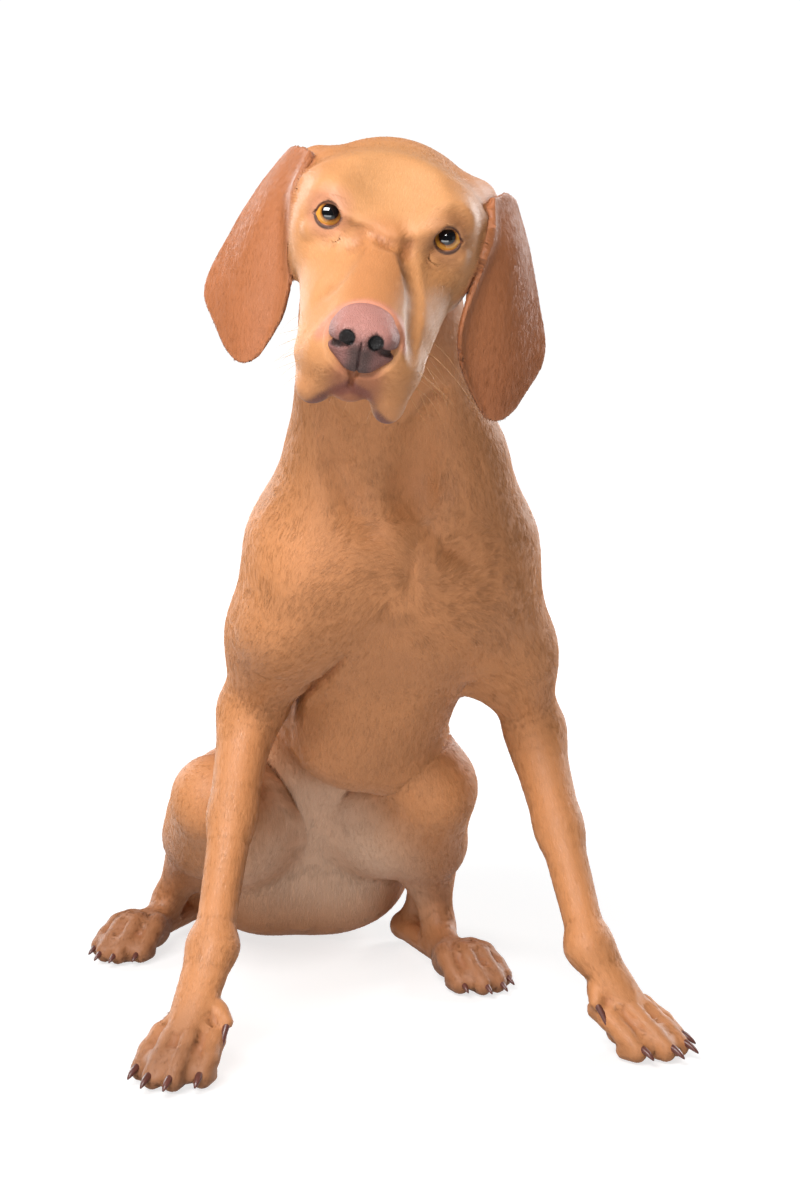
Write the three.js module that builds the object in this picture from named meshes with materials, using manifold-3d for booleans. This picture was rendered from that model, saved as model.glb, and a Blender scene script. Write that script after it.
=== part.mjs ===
// A sitting smooth-coated pointing dog, life size, as a still model in one piece of pose.
// Millimetres, +Z up. The dog faces -Y and its left side is +X.
// The flesh is one smooth body made of tapered round forms that melt into each other.
// It is given a faceted surface, and parted into named pieces by blocks with thin cuts.
import * as THREE from "three";
import { mergeVertices } from "three/addons/utils/BufferGeometryUtils.js";
import Module from "manifold-3d";

const wasm = await Module();
wasm.setup();

// ---- Driving dimensions -------------------------------------------------------------------
const GAP = 0.35; // clear width of a cut between two pieces
const HEAD_PLACE = [-8, -380, 628.7]; // the point midway between the eyes
const HEAD_PITCH = 27; // degrees that the muzzle points down
const HEAD_ROLL = 12; // degrees that the head leans to its own left
const EYE_RADIUS = 11;
const EYE_PLACE = [40.3, 9.4, -5.6]; // in the head's own axes, on its left side
const GAZE = [0.3, -0.93, 0.22]; // the way the left eye's opening faces
const EYE_OPENING = 8.6; // half the width between the corners of the lids
const EAR_THICKNESS = 5;
const CLAW_LENGTH = 17;
const CLAW_RADIUS = 3.1;

// Facet sizes along x, y and z.
const TRUNK_CELL = [34, 34, 34];
const NECK_CELL = [28, 28, 28];
const THIGH_CELL = [28, 28, 28];
const LIMB_CELL = [17, 19, 30];
const SHIN_CELL = [19, 22, 19];
const PAW_CELL = [13.5, 13.5, 12.5];
const FOOT_CELL = [13, 14.5, 13];
const TAIL_CELL = [13, 38, 12];
const HEAD_CELL = [14.5, 14.5, 14.5];
const NOSE_CELL = [10, 10, 10];

// Joints of the four legs, and the way the toes point on the floor.
const FORELEGS = {
  right: {
    side: -1,
    shoulder: [-73, -165, 381],
    elbow: [-119, -99, 242],
    wrist: [-141, -209, 85],
    toes: [-174, -299],
    heading: [-0.37, -0.93],
  },
  left: {
    side: 1,
    shoulder: [60, -129, 374],
    elbow: [107, -77, 221],
    wrist: [144, -183, 78],
    toes: [207, -224],
    heading: [0.76, -0.65],
  },
};
const HINDLEGS = {
  right: {
    side: -1,
    hip: [-126, 118, 92],
    knee: [-150, -43, 160],
    hock: [-186, 138, 54],
    heel: [-180, 172, 15],
    toes: [-243, 36],
    heading: [-0.5, -0.87],
  },
  left: {
    side: 1,
    hip: [-40, 128, 95],
    knee: [28, -45, 170],
    hock: [22, 78, 47],
    heel: [4, 106, 15],
    toes: [74, -54],
    heading: [0.52, -0.85],
  },
};

// ---- Small vector tools -------------------------------------------------------------------
const add = (a, b, s = 1) => [a[0] + b[0] * s, a[1] + b[1] * s, a[2] + b[2] * s];
const dot = (a, b) => a[0] * b[0] + a[1] * b[1] + a[2] * b[2];
const between = (a, b, t) => add(a, add(b, a, -1), t);
const unit = (a) => add([0, 0, 0], a, 1 / Math.hypot(...a));
const cross = (a, b) => [
  a[1] * b[2] - a[2] * b[1],
  a[2] * b[0] - a[0] * b[2],
  a[0] * b[1] - a[1] * b[0],
];

// The head's own axes: x to its left, y backwards, z up, with the origin between the eyes.
const headTurn = new THREE.Matrix4()
  .makeRotationY(THREE.MathUtils.degToRad(HEAD_ROLL))
  .multiply(new THREE.Matrix4().makeRotationX(THREE.MathUtils.degToRad(HEAD_PITCH)));
const alongHead = (p) => new THREE.Vector3(...p).applyMatrix4(headTurn).toArray();
const inHead = (p) => add(HEAD_PLACE, alongHead(p));

// A paw's own axes: x to its left, y forward along the toes, z up, with the origin on the floor.
function pawAxes(toes, heading) {
  const forward = unit([...heading, 0]);
  const left = [-forward[1], forward[0], 0];
  return {
    at: (x, y, z) => add(add([toes[0], toes[1], z], left, x), forward, y),
    forward,
    left,
  };
}

// ---- Forms --------------------------------------------------------------------------------
// A form runs from point a to point b, with radius ra to rb. Blend is how softly it melts into
// the forms before it. Across the direction `wide` it is `ratio` times as broad.
const forms = [];
function form(a, b, ra, rb, blend, wide = null, ratio = 1, carve = false) {
  const ab = add(b, a, -1);
  forms.push({
    a,
    ab,
    length2: Math.max(dot(ab, ab), 1e-9),
    ra,
    rb,
    blend,
    wide: wide && unit(wide),
    squeeze: 1 - 1 / ratio,
    carve,
  });
}
const ball = (a, r, blend, wide, ratio) => form(a, a, r, r, blend, wide, ratio);
const hollow = (a, b, ra, rb, blend, wide, ratio) =>
  form(a, b, ra, rb, blend, wide, ratio, true);

function softMin(a, b, blend) {
  const h = Math.max(blend - Math.abs(a - b), 0) / blend;
  return Math.min(a, b) - (h * h * blend) / 4;
}

// How far a point is outside the flesh (positive) or inside it (negative), about in mm.
function fleshAt(x, y, z) {
  let value = 1e3;
  for (const f of forms) {
    let px = x - f.a[0];
    let py = y - f.a[1];
    let pz = z - f.a[2];
    const along = px * f.ab[0] + py * f.ab[1] + pz * f.ab[2];
    const t = Math.min(Math.max(along / f.length2, 0), 1);
    px -= f.ab[0] * t;
    py -= f.ab[1] * t;
    pz -= f.ab[2] * t;
    if (f.wide) {
      const across = (px * f.wide[0] + py * f.wide[1] + pz * f.wide[2]) * f.squeeze;
      px -= f.wide[0] * across;
      py -= f.wide[1] * across;
      pz -= f.wide[2] * across;
    }
    const d = Math.sqrt(px * px + py * py + pz * pz) - f.ra - (f.rb - f.ra) * t;
    value = f.carve ? -softMin(-value, d, f.blend) : softMin(value, d, f.blend);
  }
  return value;
}

// ---- The trunk and the neck ---------------------------------------------------------------
// A run of short forms along a smooth curve. Each stop is [place, radius, ratio, wide].
function tube(stops, blend, steps = 3) {
  const curve = new THREE.CatmullRomCurve3(stops.map((stop) => new THREE.Vector3(...stop[0])));
  const last = stops.length - 1;
  const smooth = (n, pick) => {
    const i = Math.min(Math.floor(n), last - 1);
    const t = n - i;
    return between(pick(stops[i]), pick(stops[i + 1]), t * t * (3 - 2 * t) * 0.5 + t * 0.5);
  };
  for (let n = 0; n < last * steps; n++) {
    const here = curve.getPoint(n / (last * steps)).toArray();
    const next = curve.getPoint((n + 1) / (last * steps)).toArray();
    const [ra, ratio] = smooth(n / steps, (stop) => [stop[1], stop[2], 0]);
    const [rb] = smooth((n + 1) / steps, (stop) => [stop[1], stop[2], 0]);
    const wide = smooth((n + 0.5) / steps, (stop) => stop[3]);
    const run = unit(add(next, here, -1));
    form(here, next, ra, rb, n ? 5 : blend, add(wide, run, -dot(wide, run)), ratio);
  }
}

function trunkForms() {
  const trunk = [
    [[-1, -92, 446], 56, 1.5, [0, 0.66, 0.75]], // front of the rib cage
    [[-14, -38, 368], 74, 1.42, [0, 0.72, 0.69]],
    [[-34, 22, 292], 83, 1.4, [0, 0.78, 0.62]], // back of the rib cage
    [[-60, 84, 214], 77, 1.33, [0, 0.86, 0.5]], // belly
    [[-82, 132, 136], 72, 1.14, [0, 0.94, 0.34]],
    [[-86, 148, 66], 66, 1.05, [0, 1, 0]], // pelvis
  ];
  tube(trunk, 1);
  form([-110, 142, 110], [-62, 142, 110], 60, 60, 30); // breadth of the pelvis
  form([4, -135, 328], [-24, -62, 212], 46, 38, 50, [1, 0.26, 0], 1.35); // breastbone
  form([0, -182, 404], [4, -140, 330], 28, 34, 50); // front end of the breastbone
  form([-7, -184, 512], [0, -168, 420], 34, 40, 36, [1, 0, 0], 1.5); // foot of the neck
  form([-30, -184, 386], [-84, -166, 322], 36, 34, 30); // breast below the forward shoulder
  form([50, -92, 287], [84, -98, 283], 21, 20, 12); // skin in the left armpit
  form([-52, -102, 300], [-88, -108, 300], 22, 22, 20);
  for (const s of [-1, 1]) {
    form([-86 + s * 26, 128, 40], [-86 + s * 30, 162, 42], 34, 38, 24); // seat
  }
}

function neckForms() {
  const upright = [0, 0.5, 0.87];
  const neck = [
    [inHead([0, 62, -32]), 42, 1.1, upright],
    [[-14, -245, 590], 48, 1.18, upright],
    [[-11, -170, 528], 56, 1.3, upright],
    [[-4, -92, 446], 62, 1.4, upright],
  ];
  tube(neck, 30);
  for (const leg of Object.values(FORELEGS)) {
    const { side, shoulder } = leg;
    form([side * 22 - 13, -240, 560], add(shoulder, [side * -14, -6, 14]), 28, 34, 44);
    form([side * 34, -160, 444], [side * 44, -140, 385], 38, 40, 40); // front of the shoulder
  }
}

// ---- The legs -----------------------------------------------------------------------------
function forelegForms(leg) {
  const { side, shoulder, elbow, wrist } = leg;
  const blade = [side * 40 - 4, -48, 452]; // top of the shoulder blade
  form(blade, shoulder, 24, 31, 50, [0, 0.8, 0.6], 1.5);
  form(shoulder, elbow, 31, 21, 34); // upper arm
  form(add(shoulder, [side * -6, 45, -35]), add(elbow, [0, 18, 12]), 29, 16, 24); // triceps
  form([side * 20, -150, 362], between(shoulder, elbow, 0.5), 38, 25, 50); // breast muscle
  ball(add(elbow, [side * 2, 20, 4]), 13, 14); // point of the elbow
  const middle = between(elbow, wrist, 0.45);
  form(elbow, middle, 21.5, 18, 18); // forearm
  form(middle, wrist, 18, 15.5, 12);
  form(add(elbow, [side * 3, -6, -22]), between(elbow, wrist, 0.5), 17, 12, 14);
  ball(wrist, 17, 10);
  const paw = pawAxes(leg.toes, leg.heading);
  pawForms(wrist, paw, 1);
  form(paw.at(-side * 18, -62, 48), paw.at(-side * 28, -54, 41), 8, 6.5, 5); // dewclaw toe
}

function pawForms(ankle, paw, size) {
  const across = paw.left;
  form(ankle, paw.at(0, -40 * size, 31 * size), 15.5, 14, 12, across, 1.3); // pastern
  form(paw.at(0, -46 * size, 16), paw.at(0, -26 * size, 14), 14, 14, 10, across, 1.5);
  for (const toe of toeRows(size)) {
    const root = paw.at(toe.x * 0.66, toe.y - 46 * size, 32 * size);
    const knuckle = paw.at(toe.x * 0.84, toe.y - 31 * size, 29 * size);
    const bend = paw.at(toe.x * 0.98, toe.y - 15 * size, 20 * size);
    form(root, knuckle, 9.6, 10, 6);
    form(knuckle, bend, 10, 9.4, 4);
    form(bend, paw.at(toe.x, toe.y - 2, 11), 9.4, 8.8, 3);
    form(paw.at(toe.x, toe.y - 14, 8), paw.at(toe.x, toe.y - 2, 7.6), 8, 8, 4);
  }
}

// The four toes of a paw: place across it, and reach of the tip from the middle toes' tips.
function toeRows(size) {
  return [-1.5, -0.5, 0.5, 1.5].map((step) => ({
    x: step * 16.5 * size,
    y: Math.abs(step) > 1 ? -15 * size : 0,
    turn: step * 8,
  }));
}

function hindlegForms(leg) {
  const { side, hip, knee, hock, heel } = leg;
  const upright = [0, 0.35, 1];
  form(add(hip, [0, 0, 4]), between(hip, knee, 0.55), 54, 46, 36, upright, 1.1); // thigh
  form(between(hip, knee, 0.5), knee, 46, 33, 30, upright, 1.1);
  form(add(hip, [side * 4, 36, -30]), add(hip, [side * 2, -10, -36]), 42, 42, 26); // buttock
  form(knee, between(knee, hock, 0.5), 31, 29, 16); // shin
  form(between(knee, hock, 0.5), hock, 28, 16, 14);
  form(hock, heel, 14, 11, 8); // hock
  const paw = pawAxes(leg.toes, leg.heading);
  const root = paw.at(0, -56, 17);
  form(heel, root, 12, 12, 8, paw.left, 1.15);
  form(hock, root, 12, 12, 8);
  const shin = between(knee, hock, 0.72);
  form(shin, between(hock, root, 0.45), 20, 14, 12); // skin that closes the bent hock
  pawForms(root, paw, 0.83);
}

function tailForms() {
  const tail = [
    [-97, 192, 84],
    [-100, 238, 38],
    [-108, 300, 13],
    [-122, 375, 9],
    [-128, 450, 7],
    [-122, 515, 5],
  ];
  const radius = [24, 16, 12.5, 9.5, 7.5, 5];
  tube(
    tail.map((place, i) => [place, radius[i], 1, [1, 0, 0]]),
    30,
    2,
  );
}

function sheathForms() {
  form([-82, 84, 72], [-85, 99, 36], 17, 13, 14);
  form([-85, 99, 36], [-84, 97, 21], 11, 8.5, 8);
}

// ---- The head -----------------------------------------------------------------------------
function headForms() {
  const across = alongHead([1, 0, 0]);
  const headForm = (a, b, ra, rb, blend, ratio = 1) =>
    form(inHead(a), inHead(b), ra, rb, blend, across, ratio);
  headForm([0, 38, -8], [0, 80, -13], 35, 34, 18, 1.68); // brain case
  headForm([0, 82, -9], [0, 104, -7], 25, 14, 20, 1.3); // back of the skull
  headForm([0, 6, -3], [0, 36, -6], 20, 34, 20, 1.75); // forehead
  headForm([0, 4, -16], [0, -86, -25], 15, 13, 16, 1.45); // bridge of the muzzle
  headForm([0, -2, -38], [0, -84, -45], 28, 27, 18, 1.15); // muzzle
  headForm([0, -30, -60], [0, 55, -58], 17, 28, 20, 1.35); // floor of the jaw
  headForm([0, -86, -64], [0, -60, -64], 14.5, 15, 10, 1.2); // chin
  headForm([0, -97, -24], [0, -90, -26], 15.5, 14.5, 5, 1.5); // nose
  for (const s of [-1, 1]) {
    const sideForm = (a, b, ra, rb, blend, ratio = 1) =>
      headForm([s * a[0], a[1], a[2]], [s * b[0], b[1], b[2]], ra, rb, blend, ratio);
    sideForm([28, 8, 8], [42, 18, 6], 12, 12, 16); // brow
    sideForm([45, 18, -24], [46, 54, -26], 18, 22, 18); // cheekbone
    sideForm([37, 26, -46], [33, 54, -52], 24.5, 25, 18); // jaw muscle
    sideForm([34, 4, -40], [25, -50, -46], 20, 17, 18); // cheek
    sideForm([25, -20, -50], [21, -88, -55], 16, 17, 18); // upper lip
    sideForm([27, -46, -66], [25, -92, -73], 12, 12, 12, 0.9); // hanging lip
    sideForm([48, 68, -6], [58, 80, -8], 16, 13, 16); // root of the ear
    const eye = [s * EYE_PLACE[0], EYE_PLACE[1], EYE_PLACE[2]];
    const socket = add(eye, [s * GAZE[0], GAZE[1], GAZE[2]], 16);
    hollow(inHead(socket), inHead(socket), 9.5, 9.5, 9); // hollow of the eye
  }
}

trunkForms();
neckForms();
for (const leg of Object.values(HINDLEGS)) hindlegForms(leg);
sheathForms();
tailForms();
for (const leg of Object.values(FORELEGS)) forelegForms(leg);
headForms();

// ---- Faceted surface of the flesh ---------------------------------------------------------
// The box is divided into cells. Where the surface crosses a cell it gets one vertex for each
// group of joined corners inside the flesh. Each grid edge that the surface crosses gets one
// quad between the four cells round that edge.
const CUBE = [0, 1, 2, 3, 4, 5, 6, 7].map((c) => [c & 1, (c >> 1) & 1, (c >> 2) & 1]);

// Which of a cell's corners inside the flesh are joined by edges of the cell.
function cornerGroups(inside) {
  const groups = Array(8).fill(-1);
  for (let c = 0; c < 8; c++) {
    if (!inside[c] || groups[c] >= 0) continue;
    const open = [c];
    while (open.length) {
      const here = open.pop();
      groups[here] = c;
      for (const bit of [1, 2, 4]) {
        const next = here ^ bit;
        if (inside[next] && groups[next] < 0) open.push(next);
      }
    }
  }
  return groups;
}

function fleshSurface(low, high, cell) {
  const count = low.map((v, i) => Math.ceil((high[i] - v) / cell[i]) + 1);
  const [nx, ny, nz] = count;
  const index = (i, j, k) => i + nx * (j + ny * k);
  const values = new Float32Array(nx * ny * nz);
  for (let k = 0; k < nz; k++)
    for (let j = 0; j < ny; j++)
      for (let i = 0; i < nx; i++) {
        const edge =
          i === 0 || j === 0 || k === 0 || i === nx - 1 || j === ny - 1 || k === nz - 1;
        const d = fleshAt(...[i, j, k].map((v, n) => low[n] + v * cell[n]));
        values[index(i, j, k)] = edge ? Math.max(d, cell[0] * 0.5) : d;
      }
  const cornerVertex = new Int32Array(nx * ny * nz * 8).fill(-1);
  const points = [];
  for (let k = 0; k < nz - 1; k++)
    for (let j = 0; j < ny - 1; j++)
      for (let i = 0; i < nx - 1; i++) {
        const at = CUBE.map(([x, y, z]) => values[index(i + x, j + y, k + z)]);
        const inside = at.map((v) => v < 0);
        if (inside.every((v) => v) || !inside.some((v) => v)) continue;
        const groups = cornerGroups(inside);
        const inner = i > 0 && j > 0 && k > 0 && i < nx - 2 && j < ny - 2 && k < nz - 2;
        for (const group of new Set(groups.filter((g) => g >= 0))) {
          const crossings = [];
          for (let c = 0; c < 8; c++)
            for (const bit of [1, 2, 4])
              if (groups[c] === group && !inside[c ^ bit])
                crossings.push(between(CUBE[c], CUBE[c ^ bit], at[c] / (at[c] - at[c ^ bit])));
          const sum = crossings.reduce((a, b) => add(a, b));
          const place = [i, j, k].map((v, n) => low[n] + (v + sum[n] / crossings.length) * cell[n]);
          for (let c = 0; c < 8; c++)
            if (groups[c] === group) cornerVertex[index(i, j, k) * 8 + c] = points.length / 3;
          points.push(...(inner ? ontoFlesh(place, Math.min(...cell)) : place));
        }
      }
  const faces = [];
  const step = [1, nx, nx * ny];
  for (let k = 0; k < nz - 1; k++)
    for (let j = 0; j < ny - 1; j++)
      for (let i = 0; i < nx - 1; i++) {
        const here = index(i, j, k);
        for (let n = 0; n < 3; n++) {
          const inside = values[here] < 0;
          if (inside === values[here + step[n]] < 0) continue;
          const [u, v] = [(n + 1) % 3, (n + 2) % 3];
          const far = inside ? 0 : 1 << n;
          const ring = [[1, 1], [0, 1], [0, 0], [1, 0]].map(([a, b]) => {
            const corner = far + (a << u) + (b << v);
            return cornerVertex[(here - a * step[u] - b * step[v]) * 8 + corner];
          });
          if (!inside) ring.reverse();
          pushQuad(faces, points, ring);
        }
      }
  return { points, faces };
}

// Two triangles across the quad's shorter diagonal.
function pushQuad(faces, points, [a, b, c, d]) {
  const span = (p, q) =>
    Math.hypot(...[0, 1, 2].map((n) => points[3 * p + n] - points[3 * q + n]));
  if (span(a, c) <= span(b, d)) faces.push(a, b, c, a, c, d);
  else faces.push(a, b, d, b, c, d);
}

// Moves a point that is near the surface onto it.
function ontoFlesh(point, cell) {
  let p = point;
  for (let round = 0; round < 3; round++) {
    const here = fleshAt(...p);
    const e = 0.5;
    const slope = [
      (fleshAt(p[0] + e, p[1], p[2]) - here) / e,
      (fleshAt(p[0], p[1] + e, p[2]) - here) / e,
      (fleshAt(p[0], p[1], p[2] + e) - here) / e,
    ];
    const steep = Math.max(dot(slope, slope), 0.05);
    const move = THREE.MathUtils.clamp(here / steep, -cell / 3, cell / 3);
    p = add(p, slope, -move);
  }
  return p;
}

// ---- Solids -------------------------------------------------------------------------------
function solidOf(points, faces) {
  return new wasm.Manifold(
    new wasm.Mesh({
      numProp: 3,
      vertProperties: Float32Array.from(points),
      triVerts: Uint32Array.from(faces),
    }),
  );
}

function solidOfGeometry(geometry) {
  const bare = geometry.clone();
  bare.deleteAttribute("normal");
  bare.deleteAttribute("uv");
  const merged = mergeVertices(bare, 1e-4);
  return solidOf(merged.attributes.position.array, merged.index.array);
}

function biggest(solid) {
  return solid.decompose().reduce((a, b) => (b.volume() > a.volume() ? b : a));
}

// A box with a centre, a size and its own axes, grown by a margin on every side.
function block({ centre, size, x = [1, 0, 0], z = [0, 0, 1] }, grow = 0) {
  const up = unit(z);
  const back = unit(cross(up, x));
  const right = cross(back, up);
  const geometry = new THREE.BoxGeometry(...size.map((v) => v + 2 * grow));
  const turn = new THREE.Matrix4().makeBasis(
    new THREE.Vector3(...right),
    new THREE.Vector3(...back),
    new THREE.Vector3(...up),
  );
  turn.setPosition(...centre);
  return solidOfGeometry(geometry.applyMatrix4(turn));
}

// ---- Parting ------------------------------------------------------------------------------
const FLOOR = { centre: [0, 0, -100], size: [1200, 1400, 200] };
const BODY_LOW = [-310, -540, -30];
const BODY_HIGH = [290, 560, 730];

// The flesh inside some blocks, cut flat at the floor.
function fleshIn(blocks, cell) {
  const region = wasm.Manifold.union(blocks.map((b) => block(b)));
  const bounds = region.boundingBox();
  const low = BODY_LOW.map((v, i) => Math.max(v, bounds.min[i] - 2 * cell[i]));
  const high = BODY_HIGH.map((v, i) => Math.min(v, bounds.max[i] + 2 * cell[i]));
  return fleshSolid(low, high, cell).intersect(region).subtract(block(FLOOR));
}

// The grid is moved a little where two sheets of the surface would share a cell.
function fleshSolid(low, high, cell) {
  for (let attempt = 0; ; attempt++) {
    const start = low.map((v, i) => v - cell[i] * ((attempt * (0.31 + 0.17 * i)) % 1));
    const { points, faces } = fleshSurface(start, high, cell);
    try {
      return solidOf(points, faces);
    } catch (error) {
      if (attempt === 12) throw error;
    }
  }
}

const parted = [];
function part(name, blocks, cell, tools = []) {
  let solid = fleshIn(blocks, cell);
  for (const other of parted) solid = solid.subtract(other.grown);
  for (const tool of tools) solid = solid.subtract(tool);
  const grown = wasm.Manifold.union(blocks.map((b) => block(b, GAP)));
  parted.push({ name, solid: biggest(solid), grown });
}

// A box that follows a limb from one joint to the next, from `start` to `end` mm past them.
function limbBlock(from, to, start, end, x, across, depth, shift = [0, 0, 0]) {
  const run = unit(add(to, from, -1));
  const first = add(from, run, start);
  const last = add(to, run, end);
  const size = [across, depth, Math.hypot(...add(last, first, -1))];
  return { centre: add(between(first, last, 0.5), shift), size, x, z: run };
}

// ---- Ears, eyes and claws -----------------------------------------------------------------
// Each ear is a leaf of skin that hangs between three curves, in the head's own axes.
const EAR_CURVES = {
  right: [
    [[-62, 58, 13], [-63, 38, -9], [-60, 23, -34], [-56, 7, -66], [-58, -10, -100]],
    [[-74, 80, 2], [-84, 53, -24], [-89, 32, -53], [-87, 11, -85], [-79, -11, -121]],
    [[-81, 92, -14], [-94, 80, -37], [-106, 63, -65], [-116, 42, -98], [-110, 25, -114]],
  ],
  left: [
    [[66, 54, 9], [67, 31, -10], [62, 9, -36], [60, -11, -65], [78, -24, -109]],
    [[75, 81, 0], [87, 55, -20], [93, 28, -51], [99, 6, -86], [101, -15, -122]],
    [[83, 97, -12], [98, 82, -36], [113, 63, -66], [125, 42, -93], [122, 20, -114]],
  ],
};
const EAR_ROWS = 8;
const EAR_COLUMNS = 5;

function earSolid(curves, side, grow) {
  const lines = curves.map(
    (curve) => new THREE.CatmullRomCurve3(curve.map((p) => new THREE.Vector3(...p))),
  );
  const middleSheet = (u, v) => {
    const [a, b, c] = lines.map((line) => line.getPoint(u));
    const across = new THREE.CatmullRomCurve3([a, b, c]);
    return across.getPoint(v);
  };
  const points = [];
  const inset = 0.5 / EAR_COLUMNS;
  for (const face of [1, -1]) {
    for (let i = 0; i <= EAR_ROWS; i++)
      for (let j = 0; j <= EAR_COLUMNS; j++) {
        const u = i / EAR_ROWS;
        const v = inset * 0.5 + (j / EAR_COLUMNS) * (1 - inset);
        const here = middleSheet(u, v);
        const down = middleSheet(Math.min(u + 0.02, 1), v).sub(middleSheet(Math.max(u - 0.02, 0), v));
        const along = middleSheet(u, Math.min(v + 0.02, 1)).sub(middleSheet(u, Math.max(v - 0.02, 0)));
        const normal = down.clone().cross(along).normalize();
        const rim = j === 0 || j === EAR_COLUMNS || i === EAR_ROWS;
        const half = (EAR_THICKNESS / 2) * (rim ? 0.55 : 1) * (1.15 - 0.4 * u) + grow;
        const out = along.normalize().multiplyScalar(j === 0 ? -grow : j === EAR_COLUMNS ? grow : 0);
        const lower = down.normalize().multiplyScalar(i === EAR_ROWS ? grow : i ? 0 : -grow);
        here.addScaledVector(normal, half * face * side).add(out).add(lower);
        points.push(...inHead(here.toArray()));
      }
  }
  const row = EAR_COLUMNS + 1;
  const sheet = (EAR_ROWS + 1) * row;
  const faces = [];
  const quad = (a, b, c, d) => faces.push(a, b, c, a, c, d);
  for (let i = 0; i < EAR_ROWS; i++)
    for (let j = 0; j < EAR_COLUMNS; j++) {
      const a = i * row + j;
      quad(a, a + row, a + row + 1, a + 1);
      quad(sheet + a, sheet + a + 1, sheet + a + row + 1, sheet + a + row);
    }
  const rim = [];
  for (let j = 0; j < EAR_COLUMNS; j++) rim.push(j);
  for (let i = 0; i < EAR_ROWS; i++) rim.push(i * row + EAR_COLUMNS);
  for (let j = EAR_COLUMNS; j > 0; j--) rim.push(EAR_ROWS * row + j);
  for (let i = EAR_ROWS; i > 0; i--) rim.push(i * row);
  rim.forEach((a, n) => {
    const b = rim[(n + 1) % rim.length];
    quad(a, b, sheet + b, sheet + a);
  });
  if (side < 0) for (let i = 0; i < faces.length; i += 3) faces.splice(i, 2, faces[i + 1], faces[i]);
  return solidOf(points, faces);
}

function ball3(centre, radius, segments) {
  const geometry = new THREE.SphereGeometry(radius, segments, Math.round(segments * 0.6));
  return solidOfGeometry(geometry.translate(...centre));
}

// A claw is a tapered, bent horn that leaves the toe along `run` and turns down.
function clawSolid(root, run, length, radius, grow = 0) {
  return horn(root, run, length, radius * 0.22 + grow, radius + grow, 0.4, 5, 2);
}

function horn(root, run, length, tip, radius, droop, sides, rings) {
  const geometry = new THREE.CylinderGeometry(tip, radius, length, sides, rings);
  const turn = new THREE.Quaternion().setFromUnitVectors(
    new THREE.Vector3(0, 1, 0),
    new THREE.Vector3(...unit(run)),
  );
  const position = geometry.attributes.position;
  for (let i = 0; i < position.count; i++) {
    const p = new THREE.Vector3().fromBufferAttribute(position, i);
    const along = p.y / length + 0.5;
    p.y += length / 2;
    p.applyQuaternion(turn).add(new THREE.Vector3(...root));
    p.z -= length * droop * along * along;
    position.setXYZ(i, p.x, p.y, p.z);
  }
  return solidOfGeometry(geometry);
}

// ---- The named pieces ---------------------------------------------------------------------
const pieces = [];
const keep = (name, solid, look) => pieces.push({ name, solid, look });

const ears = {};
const earTools = [];
for (const [name, curves] of Object.entries(EAR_CURVES)) {
  const side = name === "left" ? 1 : -1;
  ears[name] = earSolid(curves, side, 0);
  earTools.push(earSolid(curves, side, GAP));
}
const eyeTools = [];
for (const [name, side] of [["left", 1], ["right", -1]]) {
  const centre = inHead([side * EYE_PLACE[0], EYE_PLACE[1], EYE_PLACE[2]]);
  const gaze = alongHead([side * GAZE[0], GAZE[1], GAZE[2]]);
  keep("eye_" + name, ball3(centre, EYE_RADIUS, 10), "eye");
  eyeTools.push(ball3(centre, EYE_RADIUS + GAP, 10));
  eyeTools.push(horn(add(centre, gaze, 3), gaze, 30, EYE_OPENING * 1.6, EYE_OPENING, 0, 10, 1));
}

function clawsOf(paw, size) {
  return toeRows(size).map((toe) => {
    const root = paw.at(toe.x, toe.y - 1, 13 * size);
    const run = add(add([0, 0, 0.05], paw.forward), paw.left, toe.x * 0.006);
    return [root, run, CLAW_LENGTH * size, CLAW_RADIUS * size];
  });
}

for (const [name, leg] of Object.entries(FORELEGS)) {
  const { side, shoulder, elbow, wrist } = leg;
  const paw = pawAxes(leg.toes, leg.heading);
  const claws = clawsOf(paw, 1);
  const dewclaw = [paw.at(-side * 29, -52, 40), add(paw.forward, [0, 0, -0.9]), 15, 2.6];
  const clawTools = [...claws, dewclaw].map((claw) => clawSolid(...claw, GAP));
  claws.forEach((claw, n) => keep(`claw_fore_${name}_${n + 1}`, clawSolid(...claw), "claw"));
  keep(`claw_fore_${name}_dew`, clawSolid(...dewclaw), "claw");
  const pawBlock = limbBlock(wrist, add(wrist, add(wrist, elbow, -1), 0.6), 6, 0, paw.left, 130, 250);
  part(`forepaw_${name}`, [pawBlock], PAW_CELL, clawTools);
  part(`forearm_${name}`, [limbBlock(elbow, wrist, 6, 20, [1, 0, 0], 66, 84)], LIMB_CELL);
  const arm = limbBlock(shoulder, elbow, -52, 40, [1, 0, 0], 90, 120, [side * 30, 14, 0]);
  part(`upper_arm_${name}`, [arm], THIGH_CELL);
}
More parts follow.
